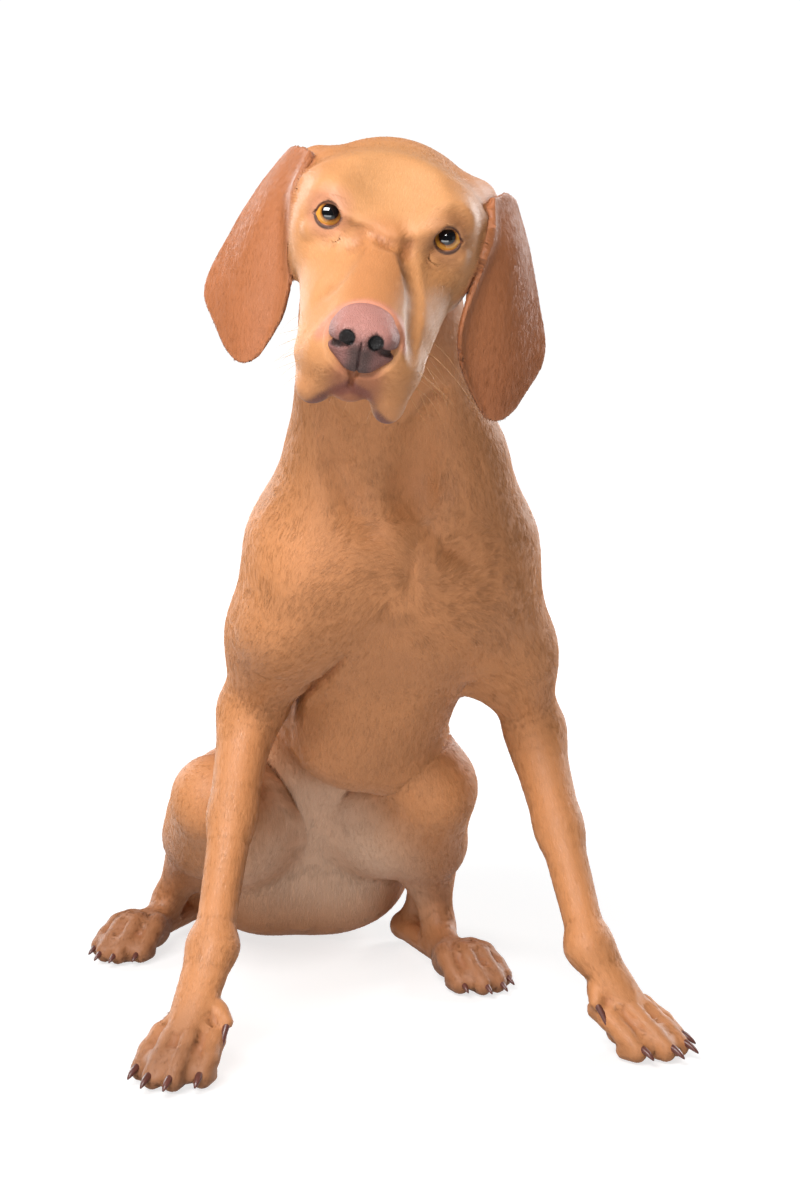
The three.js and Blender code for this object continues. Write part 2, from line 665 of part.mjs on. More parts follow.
for (const [name, leg] of Object.entries(HINDLEGS)) {
  const { side, hip, knee, hock, heel } = leg;
  const paw = pawAxes(leg.toes, leg.heading);
  const claws = clawsOf(paw, 0.83);
  const clawTools = claws.map((claw) => clawSolid(...claw, GAP));
  claws.forEach((claw, n) => keep(`claw_hind_${name}_${n + 1}`, clawSolid(...claw), "claw"));
  const toesBlock = { centre: paw.at(0, -22, 25), size: [96, 78, 60], x: paw.left };
  const heelLow = add(heel, [0, 0, 14]);
  const footRun = unit(add(paw.at(0, -56, 29), heelLow, -1));
  const footBlock = limbBlock(heelLow, paw.at(0, -56, 29), -20, 10, cross([0, 0, 1], footRun), 34, 62);
  part(`hind_foot_${name}`, [toesBlock, footBlock], FOOT_CELL, clawTools);
  const run = unit(add(hock, knee, -1));
  const toHip = add(hip, knee, -1);
  const inward = unit(add(toHip, run, -dot(toHip, run)));
  const shin = limbBlock(knee, hock, 34, 24, inward, 62, 96, add([0, 0, 0], inward, -17));
  part(`shin_${name}`, [shin], SHIN_CELL);
  const out = unit(cross(add(knee, hip, -1), [0, 0, 1]));
  const outward = out[0] * side > 0 ? out : add([0, 0, 0], out, -1);
  const thigh = limbBlock(hip, knee, -74, 60, outward, 90, 170, add([0, 0, 0], outward, 26));
  part(`thigh_${name}`, [thigh], THIGH_CELL);
}
part("tail", [{ centre: [-110, 414, 60], size: [120, 400, 140] }], TAIL_CELL);
const headBlock = (at, size) => ({
  centre: inHead(at),
  size,
  x: alongHead([1, 0, 0]),
  z: alongHead([0, 0, 1]),
});
part("lower_jaw", [headBlock([0, -36, -88], [36, 130, 50])], HEAD_CELL);
part("nose", [headBlock([0, -105, -25], [58, 26, 36])], NOSE_CELL);
const nape = alongHead([0, 0.84, -0.54]);
const skullBlock = {
  centre: add(inHead([0, 78, -38]), nape, -150),
  size: [250, 260, 300],
  x: alongHead([1, 0, 0]),
  z: nape,
};
part("head", [skullBlock], HEAD_CELL, [...eyeTools, ...earTools]);
const neckRun = unit([0, 0.72, -0.69]);
const neckBlock = {
  centre: add([-4, -150, 505], neckRun, -130),
  size: [300, 300, 260],
  z: neckRun,
};
part("neck", [neckBlock], NECK_CELL, earTools);
const loin = unit([-0.25, 0.6, -0.76]);
part("abdomen", [{ centre: add([-50, 60, 240], loin, 200), size: [500, 500, 400], z: loin }], TRUNK_CELL);
part("chest", [{ centre: [0, 0, 350], size: [700, 700, 720] }], TRUNK_CELL);

for (const { name, solid } of parted) keep(name, solid, name === "nose" ? "nose" : "coat");
for (const [name, ear] of Object.entries(ears)) keep("ear_" + name, ear, "coat");

const LOOKS = {
  coat: { color: "#c48a5a", roughness: 0.72 },
  nose: { color: "#9a6a66", roughness: 0.5 },
  eye: { color: "#8a5a24", roughness: 0.12 },
  claw: { color: "#5a3a30", roughness: 0.4 },
};

const group = new THREE.Group();
group.name = "dog";
for (const { name, solid, look } of pieces) {
  const mesh = solid.getMesh();
  const geometry = new THREE.BufferGeometry();
  const at = new Float32Array(mesh.numVert * 3);
  for (let i = 0; i < mesh.numVert; i++)
    for (let n = 0; n < 3; n++) at[3 * i + n] = mesh.vertProperties[i * mesh.numProp + n];
  geometry.setAttribute("position", new THREE.BufferAttribute(at, 3));
  geometry.setIndex(new THREE.BufferAttribute(new Uint32Array(mesh.triVerts), 1));
  const flat = geometry.toNonIndexed();
  flat.computeVertexNormals();
  const node = new THREE.Mesh(flat, new THREE.MeshStandardMaterial({ ...LOOKS[look], metalness: 0 }));
  node.name = name;
  group.add(node);
}
const extent = new THREE.Box3().setFromObject(group);
const middle = extent.getCenter(new THREE.Vector3());
group.position.set(-middle.x, -middle.y, -extent.min.z);
group.updateMatrixWorld(true);

export default group;
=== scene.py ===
"""A sitting smooth-coated pointing dog, life size: skin, coat, eyes, nose and claws."""

import math

import bmesh
import bpy
import numpy as np
from mathutils import Matrix, Vector
from mathutils.bvhtree import BVHTree


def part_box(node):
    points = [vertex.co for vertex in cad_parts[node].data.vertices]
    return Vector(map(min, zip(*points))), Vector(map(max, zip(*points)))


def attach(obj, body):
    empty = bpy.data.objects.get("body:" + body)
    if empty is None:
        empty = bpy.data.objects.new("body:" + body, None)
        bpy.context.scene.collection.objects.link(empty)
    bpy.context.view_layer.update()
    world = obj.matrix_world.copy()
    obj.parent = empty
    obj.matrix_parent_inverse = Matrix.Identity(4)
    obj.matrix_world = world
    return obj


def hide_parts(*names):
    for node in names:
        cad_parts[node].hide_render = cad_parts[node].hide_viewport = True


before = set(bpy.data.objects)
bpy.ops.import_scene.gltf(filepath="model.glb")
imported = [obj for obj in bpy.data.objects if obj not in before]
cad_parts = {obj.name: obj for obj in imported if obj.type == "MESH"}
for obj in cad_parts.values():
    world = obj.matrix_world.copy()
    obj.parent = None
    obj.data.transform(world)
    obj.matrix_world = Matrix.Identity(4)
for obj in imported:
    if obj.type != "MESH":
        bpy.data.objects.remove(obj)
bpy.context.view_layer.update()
rng = np.random.default_rng(7)

# ---- Sizes, in mm, in the modelling frame: the dog faces -Y, its left side is +X -------------
HEAD_PLACE = np.array([-8, -380, 628.7])  # midway between the eyes
HEAD_PITCH = math.radians(27)
HEAD_ROLL = math.radians(12)
EYE_RADIUS = 11.0
EYE_PLACE = np.array([40.3, 9.4, -5.6])  # in the head's own axes, on its left side
GAZE = np.array([0.3, -0.93, 0.22])
OPENING = np.array([0.06, -0.88, 0.47])  # the way the left eye's lids face
COAT_DEPTH = 1.5
SKIN_VOXEL = 2.1
SKIN_KEEP = 0.215  # share of the melted skin's triangles that stays
UNDERCOAT_SHADE = 0.94  # painted shade: the skin's brightness against its tufts, darkened as the shade among them

FORELEGS = {
    "right": {
        "side": -1,
        "shoulder": [-73, -165, 381],
        "elbow": [-119, -99, 242],
        "wrist": [-141, -209, 85],
        "toes": [-174, -299],
        "heading": [-0.37, -0.93],
    },
    "left": {
        "side": 1,
        "shoulder": [60, -129, 374],
        "elbow": [107, -77, 221],
        "wrist": [144, -183, 78],
        "toes": [207, -224],
        "heading": [0.76, -0.65],
    },
}
HINDLEGS = {
    "right": {
        "side": -1,
        "hip": [-126, 118, 92],
        "knee": [-150, -43, 160],
        "hock": [-186, 138, 54],
        "heel": [-180, 172, 15],
        "toes": [-243, 36],
        "heading": [-0.5, -0.87],
    },
    "left": {
        "side": 1,
        "hip": [-40, 128, 95],
        "knee": [28, -45, 170],
        "hock": [22, 78, 47],
        "heel": [4, 106, 15],
        "toes": [74, -54],
        "heading": [0.52, -0.85],
    },
}


# ---- Small vector tools ----------------------------------------------------------------------
def vec(*values):
    return np.array(values, float)


def unit(a):
    a = np.asarray(a, float)
    return a / max(np.linalg.norm(a), 1e-12)


def between(a, b, t):
    return np.asarray(a, float) * (1 - t) + np.asarray(b, float) * t


def turn(axis, angle):
    return np.array(Matrix.Rotation(angle, 3, axis))


HEAD_TURN = turn("Y", HEAD_ROLL) @ turn("X", HEAD_PITCH)


def along_head(p):
    return HEAD_TURN @ np.asarray(p, float)


def in_head(p):
    return HEAD_PLACE + along_head(p)


def to_head(points):
    return (points - HEAD_PLACE) @ HEAD_TURN


class Paw:
    """A paw's own axes: x to its left, y forward along the toes, z up from the floor."""

    def __init__(self, toes, heading):
        self.origin = vec(*toes, 0)
        self.forward = unit([*heading, 0])
        self.left = vec(-self.forward[1], self.forward[0], 0)

    def at(self, x, y, z):
        return self.origin + self.left * x + self.forward * y + vec(0, 0, z)


# ---- Forms: tapered round bodies that melt into each other -----------------------------------
class Form:
    def __init__(self, a, b, ra, rb, blend, wide=None, ratio=1.0, carve=False, lie=None):
        self.a, self.b = np.asarray(a, float), np.asarray(b, float)
        self.ab = self.b - self.a
        self.length2 = max(self.ab @ self.ab, 1e-9)
        self.ra, self.rb, self.blend, self.carve = ra, rb, blend, carve
        self.wide = None if wide is None else unit(wide)
        self.ratio = ratio
        self.lie = unit(self.ab if lie is None else lie)
        reach = max(ra, rb) * max(ratio, 1) + blend + 26
        self.low = np.minimum(self.a, self.b) - reach
        self.high = np.maximum(self.a, self.b) + reach

    def distance(self, p):
        q = p - self.a
        t = np.clip(q @ self.ab / self.length2, 0, 1)
        q = q - t[:, None] * self.ab
        if self.wide is not None:
            q = q - np.outer(q @ self.wide * (1 - 1 / self.ratio), self.wide)
        return np.sqrt(np.einsum("ij,ij->i", q, q)) - self.ra - (self.rb - self.ra) * t


class Body:
    """A list of forms, and how far a point is outside the flesh they make together."""

    def __init__(self):
        self.forms = []

    def form(self, a, b, ra, rb, blend, wide=None, ratio=1.0, **more):
        self.forms.append(Form(a, b, ra, rb, blend, wide, ratio, **more))

    def ball(self, a, r, blend, wide=None, ratio=1.0, **more):
        self.form(a, a, r, r, blend, wide, ratio, **more)

    def hollow(self, a, b, ra, rb, blend, wide=None, ratio=1.0, **more):
        self.form(a, b, ra, rb, blend, wide, ratio, carve=True, **more)

    def near(self, points):
        found = []
        for f in self.forms:
            inside = np.all((points > f.low) & (points < f.high), axis=1)
            found.append(np.nonzero(inside)[0])
        return found

    def at(self, points, near=None):
        near = self.near(points) if near is None else near
        value = np.full(len(points), 1e3)
        for f, index in zip(self.forms, near):
            if not len(index):
                continue
            d = f.distance(points[index])
            v = value[index]
            if f.carve:
                v = -v
            h = np.maximum(f.blend - np.abs(v - d), 0) / f.blend
            v = np.minimum(v, d) - h * h * f.blend / 4
            value[index] = -v if f.carve else v
        return value

    def slope(self, points, near=None, here=None):
        near = self.near(points) if near is None else near
        here = self.at(points, near) if here is None else here
        e = 0.3
        cols = [(self.at(points + e * np.eye(3)[n], near) - here) / e for n in range(3)]
        return np.stack(cols, 1)

    def settle(self, points, level, rounds=4, reach=3.0):
        """Moves points onto the surface where the distance is `level`."""
        near = self.near(points)
        for _ in range(rounds):
            here = self.at(points, near)
            slope = self.slope(points, near, here)
            steep = np.maximum(np.einsum("ij,ij->i", slope, slope), 0.02)
            move = np.clip((here - level) / steep, -reach, reach)
            points = points - slope * move[:, None]
        return points

    def tube(self, stops, blend, steps=3, **more):
        """A run of short forms along a smooth curve. Each stop is (place, radius, ratio, wide)."""
        last = len(stops) - 1
        places = [np.asarray(s[0], float) for s in stops]

        def smooth(n, pick):
            i = min(int(n), last - 1)
            t = n - i
            return between(pick(stops[i]), pick(stops[i + 1]), t * t * (3 - 2 * t) * 0.5 + t * 0.5)

        for n in range(last * steps):
            here = curve_point(places, n / (last * steps))
            there = curve_point(places, (n + 1) / (last * steps))
            ra, ratio = smooth(n / steps, lambda s: [s[1], s[2]])
            rb = smooth((n + 1) / steps, lambda s: [s[1], s[2]])[0]
            wide = smooth((n + 0.5) / steps, lambda s: s[3])
            run = unit(there - here)
            self.form(here, there, ra, rb, 5 if n else blend, wide - run * (wide @ run), ratio, **more)


def curve_point(places, t):
    """A point along a smooth curve through the places, spaced evenly by their number."""
    last = len(places) - 1
    n = min(t * last, last - 1e-9)
    i = int(n)
    w = n - i
    p1, p2 = places[i], places[i + 1]
    p0 = places[i - 1] if i > 0 else 2 * p1 - p2
    p3 = places[i + 2] if i + 2 <= last else 2 * p2 - p1
    d1, d2, d3 = (max(np.linalg.norm(q - p) ** 0.5, 1e-4) for p, q in ((p0, p1), (p1, p2), (p2, p3)))
    t1 = ((p1 - p0) / d1 - (p2 - p0) / (d1 + d2) + (p2 - p1) / d2) * d2
    t2 = ((p2 - p1) / d2 - (p3 - p1) / (d2 + d3) + (p3 - p2) / d3) * d2
    return (
        p1
        + t1 * w
        + (-3 * p1 + 3 * p2 - 2 * t1 - t2) * w**2
        + (2 * p1 - 2 * p2 + t1 + t2) * w**3
    )


dog = Body()


# ---- The trunk and the neck ------------------------------------------------------------------
def trunk_forms():
    trunk = [
        ([-1, -92, 446], 56, 1.5, vec(0, 0.66, 0.75)),  # front of the rib cage
        ([-14, -38, 368], 74, 1.42, vec(0, 0.72, 0.69)),
        ([-34, 22, 292], 83, 1.4, vec(0, 0.78, 0.62)),  # back of the rib cage
        ([-60, 84, 214], 77, 1.33, vec(0, 0.86, 0.5)),  # belly
        ([-82, 132, 136], 72, 1.14, vec(0, 0.94, 0.34)),
        ([-86, 148, 66], 66, 1.05, vec(0, 1, 0)),  # pelvis
    ]
    dog.tube(trunk, 1)
    down = vec(0, 0.15, -1)
    dog.form([-110, 142, 110], [-62, 142, 110], 60, 60, 30, lie=down)  # breadth of the pelvis
    dog.form([4, -135, 328], [-24, -62, 212], 46, 38, 50, [1, 0.26, 0], 1.35)  # breastbone
    dog.form([0, -182, 404], [4, -140, 330], 28, 34, 50)  # front end of the breastbone
    dog.form([-7, -184, 512], [0, -168, 420], 34, 40, 36, [1, 0, 0], 1.5)  # foot of the neck
    dog.form([-30, -184, 386], [-84, -166, 322], 36, 34, 30)  # breast below the forward shoulder
    dog.form([50, -92, 287], [84, -98, 283], 21, 20, 12)  # skin in the left armpit
    dog.form([-52, -102, 300], [-88, -108, 300], 22, 22, 20)
    for s in (-1, 1):
        dog.form([-86 + s * 26, 128, 40], [-86 + s * 30, 162, 42], 34, 38, 24, lie=down)  # seat


def neck_forms():
    upright = vec(0, 0.5, 0.87)
    neck = [
        (in_head([0, 62, -32]), 42, 1.1, upright),
        ([-14, -245, 590], 48, 1.18, upright),
        ([-11, -170, 528], 56, 1.3, upright),
        ([-4, -92, 446], 62, 1.4, upright),
    ]
    dog.tube(neck, 30)
    for leg in FORELEGS.values():
        side = leg["side"]
        low = np.array(leg["shoulder"]) + vec(side * -14, -6, 14)
        dog.form([side * 22 - 13, -240, 560], low, 28, 34, 44)
        dog.form([side * 34, -160, 444], [side * 44, -140, 385], 38, 40, 40)  # front of the shoulder


# ---- The legs --------------------------------------------------------------------------------
def foreleg_forms(leg):
    side = leg["side"]
    shoulder, elbow, wrist = (np.array(leg[k], float) for k in ("shoulder", "elbow", "wrist"))
    blade = [side * 40 - 4, -48, 452]  # top of the shoulder blade
    dog.form(blade, shoulder, 24, 31, 50, [0, 0.8, 0.6], 1.5)
    dog.form(shoulder, elbow, 31, 21, 34)  # upper arm
    dog.form(shoulder + vec(side * -6, 45, -35), elbow + vec(0, 18, 12), 29, 16, 24)  # triceps
    dog.form([side * 20, -150, 362], between(shoulder, elbow, 0.5), 38, 25, 50)  # breast muscle
    dog.ball(elbow + vec(side * 2, 20, 4), 13, 14, lie=wrist - elbow)  # point of the elbow
    middle = between(elbow, wrist, 0.45)
    dog.form(elbow, middle, 21.5, 18, 18)  # forearm
    dog.form(middle, wrist, 18, 15.5, 12)
    dog.form(elbow + vec(side * 3, -6, -22), between(elbow, wrist, 0.5), 17, 12, 14)
    dog.ball(wrist, 17, 10, lie=wrist - elbow)
    paw = Paw(leg["toes"], leg["heading"])
    paw_forms(wrist, paw, 1)
    dog.form(paw.at(-side * 18, -62, 48), paw.at(-side * 28, -54, 41), 8, 6.5, 5)  # dewclaw toe


def toe_rows(size):
    """The four toes of a paw: place across it, and reach of the tip from the middle toes' tips."""
    return [(step * 16.5 * size, -15 * size if abs(step) > 1 else 0) for step in (-1.5, -0.5, 0.5, 1.5)]


def paw_forms(ankle, paw, size):
    dog.form(ankle, paw.at(0, -40 * size, 31 * size), 15.5, 14, 12, paw.left, 1.3)  # pastern
    dog.form(paw.at(0, -46 * size, 16), paw.at(0, -26 * size, 14), 14, 14, 10, paw.left, 1.5)
    for x, y in toe_rows(size):
        root = paw.at(x * 0.66, y - 46 * size, 32 * size)
        knuckle = paw.at(x * 0.84, y - 31 * size, 29 * size)
        bend = paw.at(x * 0.98, y - 15 * size, 20 * size)
        dog.form(root, knuckle, 9.6, 10, 6)
        dog.form(knuckle, bend, 10, 9.4, 4)
        dog.form(bend, paw.at(x, y - 2, 11), 9.4, 8.8, 3)
        dog.form(paw.at(x, y - 14, 8), paw.at(x, y - 2, 7.6), 8, 8, 4)


def toe_gaps():
    """The clefts between the toes."""
    for legs, size in ((FORELEGS, 1.0), (HINDLEGS, 0.83)):
        for leg in legs.values():
            paw = Paw(leg["toes"], leg["heading"])
            toes = toe_rows(size)
            for (xa, ya), (xb, yb) in zip(toes, toes[1:]):
                x, y = (xa + xb) / 2, min(ya, yb) / 2 + (ya + yb) / 4
                steps = ((0.7, -44, 42), (0.84, -30, 38), (0.96, -15, 28), (1.0, -4, 17), (1.0, -1, 9))
                line = [paw.at(x * k, y + dy * size, dz * size) for k, dy, dz in steps]
                crease(dog, line, 1.7, 3.2, 2.5)


def hindleg_forms(leg):
    side = leg["side"]
    hip, knee, hock, heel = (np.array(leg[k], float) for k in ("hip", "knee", "hock", "heel"))
    upright = [0, 0.35, 1]
    down = vec(side * 0.1, 0.25, -1)
    dog.form(hip + vec(0, 0, 4), between(hip, knee, 0.55), 54, 46, 36, upright, 1.1, lie=down)
    dog.form(between(hip, knee, 0.5), knee, 46, 33, 30, upright, 1.1, lie=down)
    seat = (hip + vec(side * 4, 36, -30), hip + vec(side * 2, -10, -36))
    dog.form(*seat, 42, 42, 26, lie=down)  # buttock
    dog.form(knee, between(knee, hock, 0.5), 31, 29, 16)  # shin
    dog.form(between(knee, hock, 0.5), hock, 28, 16, 14)
    dog.form(hock, heel, 14, 11, 8)  # hock
    paw = Paw(leg["toes"], leg["heading"])
    root = paw.at(0, -56, 17)
    dog.form(heel, root, 12, 12, 8, paw.left, 1.15)
    dog.form(hock, root, 12, 12, 8)
    shin = between(knee, hock, 0.72)
    dog.form(shin, between(hock, root, 0.45), 20, 14, 12)  # skin that closes the bent hock
    paw_forms(root, paw, 0.83)


TAIL = [
    [-97, 192, 84],
    [-100, 238, 38],
    [-108, 300, 13],
    [-122, 375, 9],
    [-128, 450, 7],
    [-122, 515, 5],
]
TAIL_RADIUS = [24, 16, 12.5, 9.5, 7.5, 5]


def tail_forms():
    stops = [(place, radius, 1.0, vec(1, 0, 0)) for place, radius in zip(TAIL, TAIL_RADIUS)]
    dog.tube(stops, 30, 2)


def sheath_forms():
    dog.form([-82, 84, 72], [-85, 99, 36], 17, 13, 14)
    dog.form([-85, 99, 36], [-84, 97, 21], 11, 8.5, 8)


# ---- The head --------------------------------------------------------------------------------
def head_forms():
    across = along_head([1, 0, 0])

    def head_form(a, b, ra, rb, blend, ratio=1.0):
        lie = along_head(np.subtract(a, b) if b[1] < a[1] else np.subtract(b, a))
        dog.form(in_head(a), in_head(b), ra, rb, blend, across, ratio, lie=lie)

    head_form([0, 38, -8], [0, 80, -13], 35, 34, 18, 1.68)  # brain case
    head_form([0, 82, -9], [0, 104, -7], 25, 14, 20, 1.3)  # back of the skull
    head_form([0, 6, -3], [0, 36, -6], 20, 34, 20, 1.75)  # forehead
    head_form([0, 4, -16], [0, -86, -25], 15, 13, 16, 1.45)  # bridge of the muzzle
    head_form([0, -2, -38], [0, -84, -45], 28, 27, 18, 1.15)  # muzzle
    head_form([0, -30, -60], [0, 55, -58], 17, 28, 20, 1.35)  # floor of the jaw
    head_form([0, -86, -64], [0, -60, -64], 14.5, 15, 10, 1.2)  # chin
    head_form([0, -97, -24], [0, -90, -26], 15.5, 14.5, 5, 1.5)  # nose
    for s in (-1, 1):

        def side_form(a, b, ra, rb, blend, ratio=1.0):
            head_form([s * a[0], a[1], a[2]], [s * b[0], b[1], b[2]], ra, rb, blend, ratio)

        side_form([28, 8, 8], [42, 18, 6], 12, 12, 16)  # brow
        side_form([45, 18, -24], [46, 54, -26], 18, 22, 18)  # cheekbone
        side_form([37, 26, -46], [33, 54, -52], 24.5, 25, 18)  # jaw muscle
        side_form([34, 4, -40], [25, -50, -46], 20, 17, 18)  # cheek
        side_form([25, -20, -50], [21, -88, -55], 16, 17, 18)  # upper lip
        side_form([27, -46, -66], [25, -92, -73], 12, 12, 12, 0.9)  # hanging lip
        side_form([48, 68, -6], [58, 80, -8], 16, 13, 16)  # root of the ear
        eye = EYE_PLACE * [s, 1, 1]
        socket = in_head(eye + GAZE * [s, 1, 1] * 16)
        dog.hollow(socket, socket, 9.5, 9.5, 9)  # hollow of the eye


trunk_forms()
neck_forms()
for leg in HINDLEGS.values():
    hindleg_forms(leg)
sheath_forms()
tail_forms()
for leg in FORELEGS.values():
    foreleg_forms(leg)
head_forms()

# ---- The ears: leaves of skin that hang between three curves, in the head's own axes ---------
EAR_CURVES = {
    "right": [
        [[-62, 58, 13], [-63, 38, -9], [-60, 23, -34], [-56, 7, -66], [-58, -10, -100]],
        [[-74, 80, 2], [-84, 53, -24], [-89, 32, -53], [-87, 11, -85], [-79, -11, -121]],
        [[-81, 92, -14], [-94, 80, -37], [-106, 63, -65], [-116, 42, -98], [-110, 25, -114]],
    ],
    "left": [
        [[66, 54, 9], [67, 31, -10], [62, 9, -36], [60, -11, -65], [78, -24, -109]],
        [[75, 81, 0], [87, 55, -20], [93, 28, -51], [99, 6, -86], [101, -15, -122]],
        [[83, 97, -12], [98, 82, -36], [113, 63, -66], [125, 42, -93], [122, 20, -114]],
    ],
}
EAR_THICKNESS = 5.0
EAR_ROLL = 5.0  # how far the front edge turns outward


def ear_point(curves, u, v):
    """A point of the leaf's middle: u down from the root, v from the front edge to the back edge."""
    tip = max(u - 0.8, 0) / 0.2
    v = 0.5 + (v - 0.5) * (1 - 0.5 * tip**3)
    across = [curve_point([np.array(p, float) for p in curve], u) for curve in curves]
    return in_head(curve_point(across, v))


def ear_sheet(curves, side):
    """The leaf as an open grid, its front edge turned outward."""
    rows, columns = 30, 12
    bm = bmesh.new()
    bmesh.ops.create_grid(bm, x_segments=columns, y_segments=rows, size=0.5)
    bm.verts.index_update()
    for vert in bm.verts:
        u, v = vert.co.y + 0.5, vert.co.x + 0.5
        here = ear_point(curves, u, v)
        across = unit(ear_point(curves, u, min(v + 0.02, 1)) - ear_point(curves, u, max(v - 0.02, 0)))
        down = unit(ear_point(curves, min(u + 0.02, 1), v) - ear_point(curves, max(u - 0.02, 0), v))
        outward = np.cross(down, across) * side
        roll = max(1 - v / 0.16, 0) ** 2 * EAR_ROLL * min(u * 4, 1)
        vert.co = Vector(here + outward * roll)
    return bm


class Leaf:
    """A thin ear: everything within half its thickness of a curved sheet."""

    def __init__(self, curves, side, blend):
        bm = ear_sheet(curves, side)
        bmesh.ops.triangulate(bm, faces=bm.faces)
        self.tree = BVHTree.FromBMesh(bm)
        self.corners = np.array([v.co for v in bm.verts])
        bm.free()
        self.curves, self.side, self.blend, self.carve = curves, side, blend, False
        self.root, self.tip = ear_point(curves, 0, 0.5), ear_point(curves, 1, 0.5)
        self.lie = unit(self.tip - self.root)
        self.low = self.corners.min(0) - 14
        self.high = self.corners.max(0) + 14

    def distance(self, p):
        found = np.array([self.tree.find_nearest(point)[3] for point in p.tolist()])
        fallen = np.clip((p - self.root) @ self.lie / np.linalg.norm(self.tip - self.root), 0, 1)
        return found - EAR_THICKNESS / 2 * (1.15 - 0.3 * fallen)


for side, curves in ((-1, EAR_CURVES["right"]), (1, EAR_CURVES["left"])):
    dog.forms.append(Leaf(curves, side, 7))


# ---- Fine shape of the face -------------------------------------------------------------------
def on_surface(body, place, height):
    """The nearest place on the flesh so far, moved outward by height."""
    there = body.settle(np.array([place], float), 0, 6)
    return there[0] + unit(body.slope(there)[0]) * height


def crease(body, places, width, depth, blend):
    """A groove of the given half width and depth along places on the surface."""
    radius = (width**2 + depth**2) / (2 * depth)
    path = [on_surface(body, p, radius - depth) for p in places]
    for a, b in zip(path, path[1:]):
        body.hollow(a, b, radius, radius, blend)


def head_line(*places):
    """A smooth run of places in the head's axes."""
    rough = [in_head(p) for p in places]
    steps = 3 * (len(rough) - 1)
    return [curve_point(rough, n / steps) for n in range(steps + 1)]


def eye_axes(side):
    """An eye's centre, the way its opening faces, and the ways to its outer corner and its brow."""
    out = unit(OPENING * [side, 1, 1])
    corner = vec(side, 0.12, 0.2 if side > 0 else 0.02)
    corner = unit(corner - out * (corner @ out))
    return EYE_PLACE * [side, 1, 1], out, corner, unit(np.cross(corner, out)) * side


def lid_forms():
    for s in (-1, 1):
        eye, out, corner, up = eye_axes(s)
        dog.ball(in_head(eye), 12.2, 6)  # lids over the eyeball
        brow = [eye + out * 5 - corner * 9 + up * 11, eye + out * 3 + corner * 8 + up * 12]
        dog.form(in_head(brow[0]), in_head(brow[1]), 4.5, 4, 9)  # fold above the upper lid
        inner = in_head(eye + out * 12.5 - corner * 1.9 - up * 0.7)
        outer = in_head(eye + out * 12.5 + corner * 1.9 - up * 0.7)
        dog.hollow(inner, outer, 7.3, 7.3, 1.0)  # opening between the lids
        nook = in_head(eye + out * 9.5 - corner * 11 - up * 3.5)
        dog.hollow(inner, nook, 4.5, 1.2, 1.2)  # inner corner
        nook = in_head(eye + out * 8 + corner * 10 + up * 1)
        dog.hollow(outer, nook, 4.5, 1.0, 1.2)  # outer corner


def face_creases():
    crease(dog, head_line([-23, -19, -9], [-14, -14, 2], [0, -20, 0], [14, -18, -2]), 3.5, 1.9, 3)
    crease(dog, head_line([8, -3, 16], [15, -14, 2], [18, -22, -6]), 3.5, 1.3, 3)
    crease(dog, head_line([18, -22, -6], [26, -45, -16], [30, -77, -28], [33, -93, -37]), 4.5, 1.5, 6)
    crease(dog, head_line([-21, -17, -6], [-25, -42, -15], [-35, -58, -27]), 4.5, 0.9, 6)
    crease(dog, head_line([27, -7, 13], [36, 4, 19], [46, 8, 16], [53, 10, 10]), 3.5, 0.6, 5)
    crease(dog, head_line([-33, 0, 18], [-27, -4, 17], [-21, -5, 15]), 5, 0.8, 6)
    crease(dog, head_line([0, 2, 18], [-1, 15, 25], [-2, 34, 28]), 11, 0.9, 12)


def lip_forms():
    for s, out, drop in ((-1, 30, 2), (1, 26, 6)):
        whisker_bed = in_head([s * out, -76, -60]), in_head([s * (out - 3), -60, -62])
        dog.form(*whisker_bed, 13.5, 14, 12)
        low = in_head([s * (out - 2), -90, -77 - drop]), in_head([s * out, -60, -74 - drop])
        dog.form(*low, 11, 11, 7)  # hanging edge of the lip
    dog.form(in_head([-4, -92, -68]), in_head([-4, -60, -66]), 13.5, 15, 3, along_head([1, 0, 0]), 1.1)
    crease(dog, [in_head([-3, -113, -50]), in_head([-3, -108, -62])], 1.6, 2.2, 1.5)  # below the nose


def chest_folds():
    """Loose skin of the throat, the chest and the armpits."""
    right_line = [(-52, -240, 500), (-47, -242, 479), (-44, -231, 448), (-35, -225, 426), (-20, -223, 405)]
    left_line = [(26, -240, 500), (20, -237, 478), (18, -223, 447), (15, -219, 425), (24, -216, 400)]
    throat = (
        (right_line, 7, 4.5, 14),
        (left_line, 7, 6, 14),
        ([(14, -236, 462), (13, -222, 435), (8, -221, 425)], 9, 4, 14),
        ([(30, -208, 355), (42, -206, 350), (56, -201, 352)], 3.5, 1.8, 7),
        ([(10, -213, 378), (10, -211, 362), (9, -208, 350)], 3, 1.6, 6),
        ([(-5, -188, 310), (-5, -165, 280), (-5, -155, 262)], 12, 2.2, 16),
    )
    for line, width, depth, blend in throat:
        crease(dog, line, width, depth, blend)


lid_forms()
face_creases()
lip_forms()
chest_folds()
toe_gaps()


# ---- Skin: the forms as hulls, melted together, then drawn onto the smooth surface ------------
eye_low, eye_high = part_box("eye_left")
PART_SHIFT = np.array((eye_low + eye_high) / 2) * 1000 - in_head(EYE_PLACE)


def to_part(points):
    """From the modelling frame in mm to the part's frame in metres."""
    return (points + PART_SHIFT) / 1000


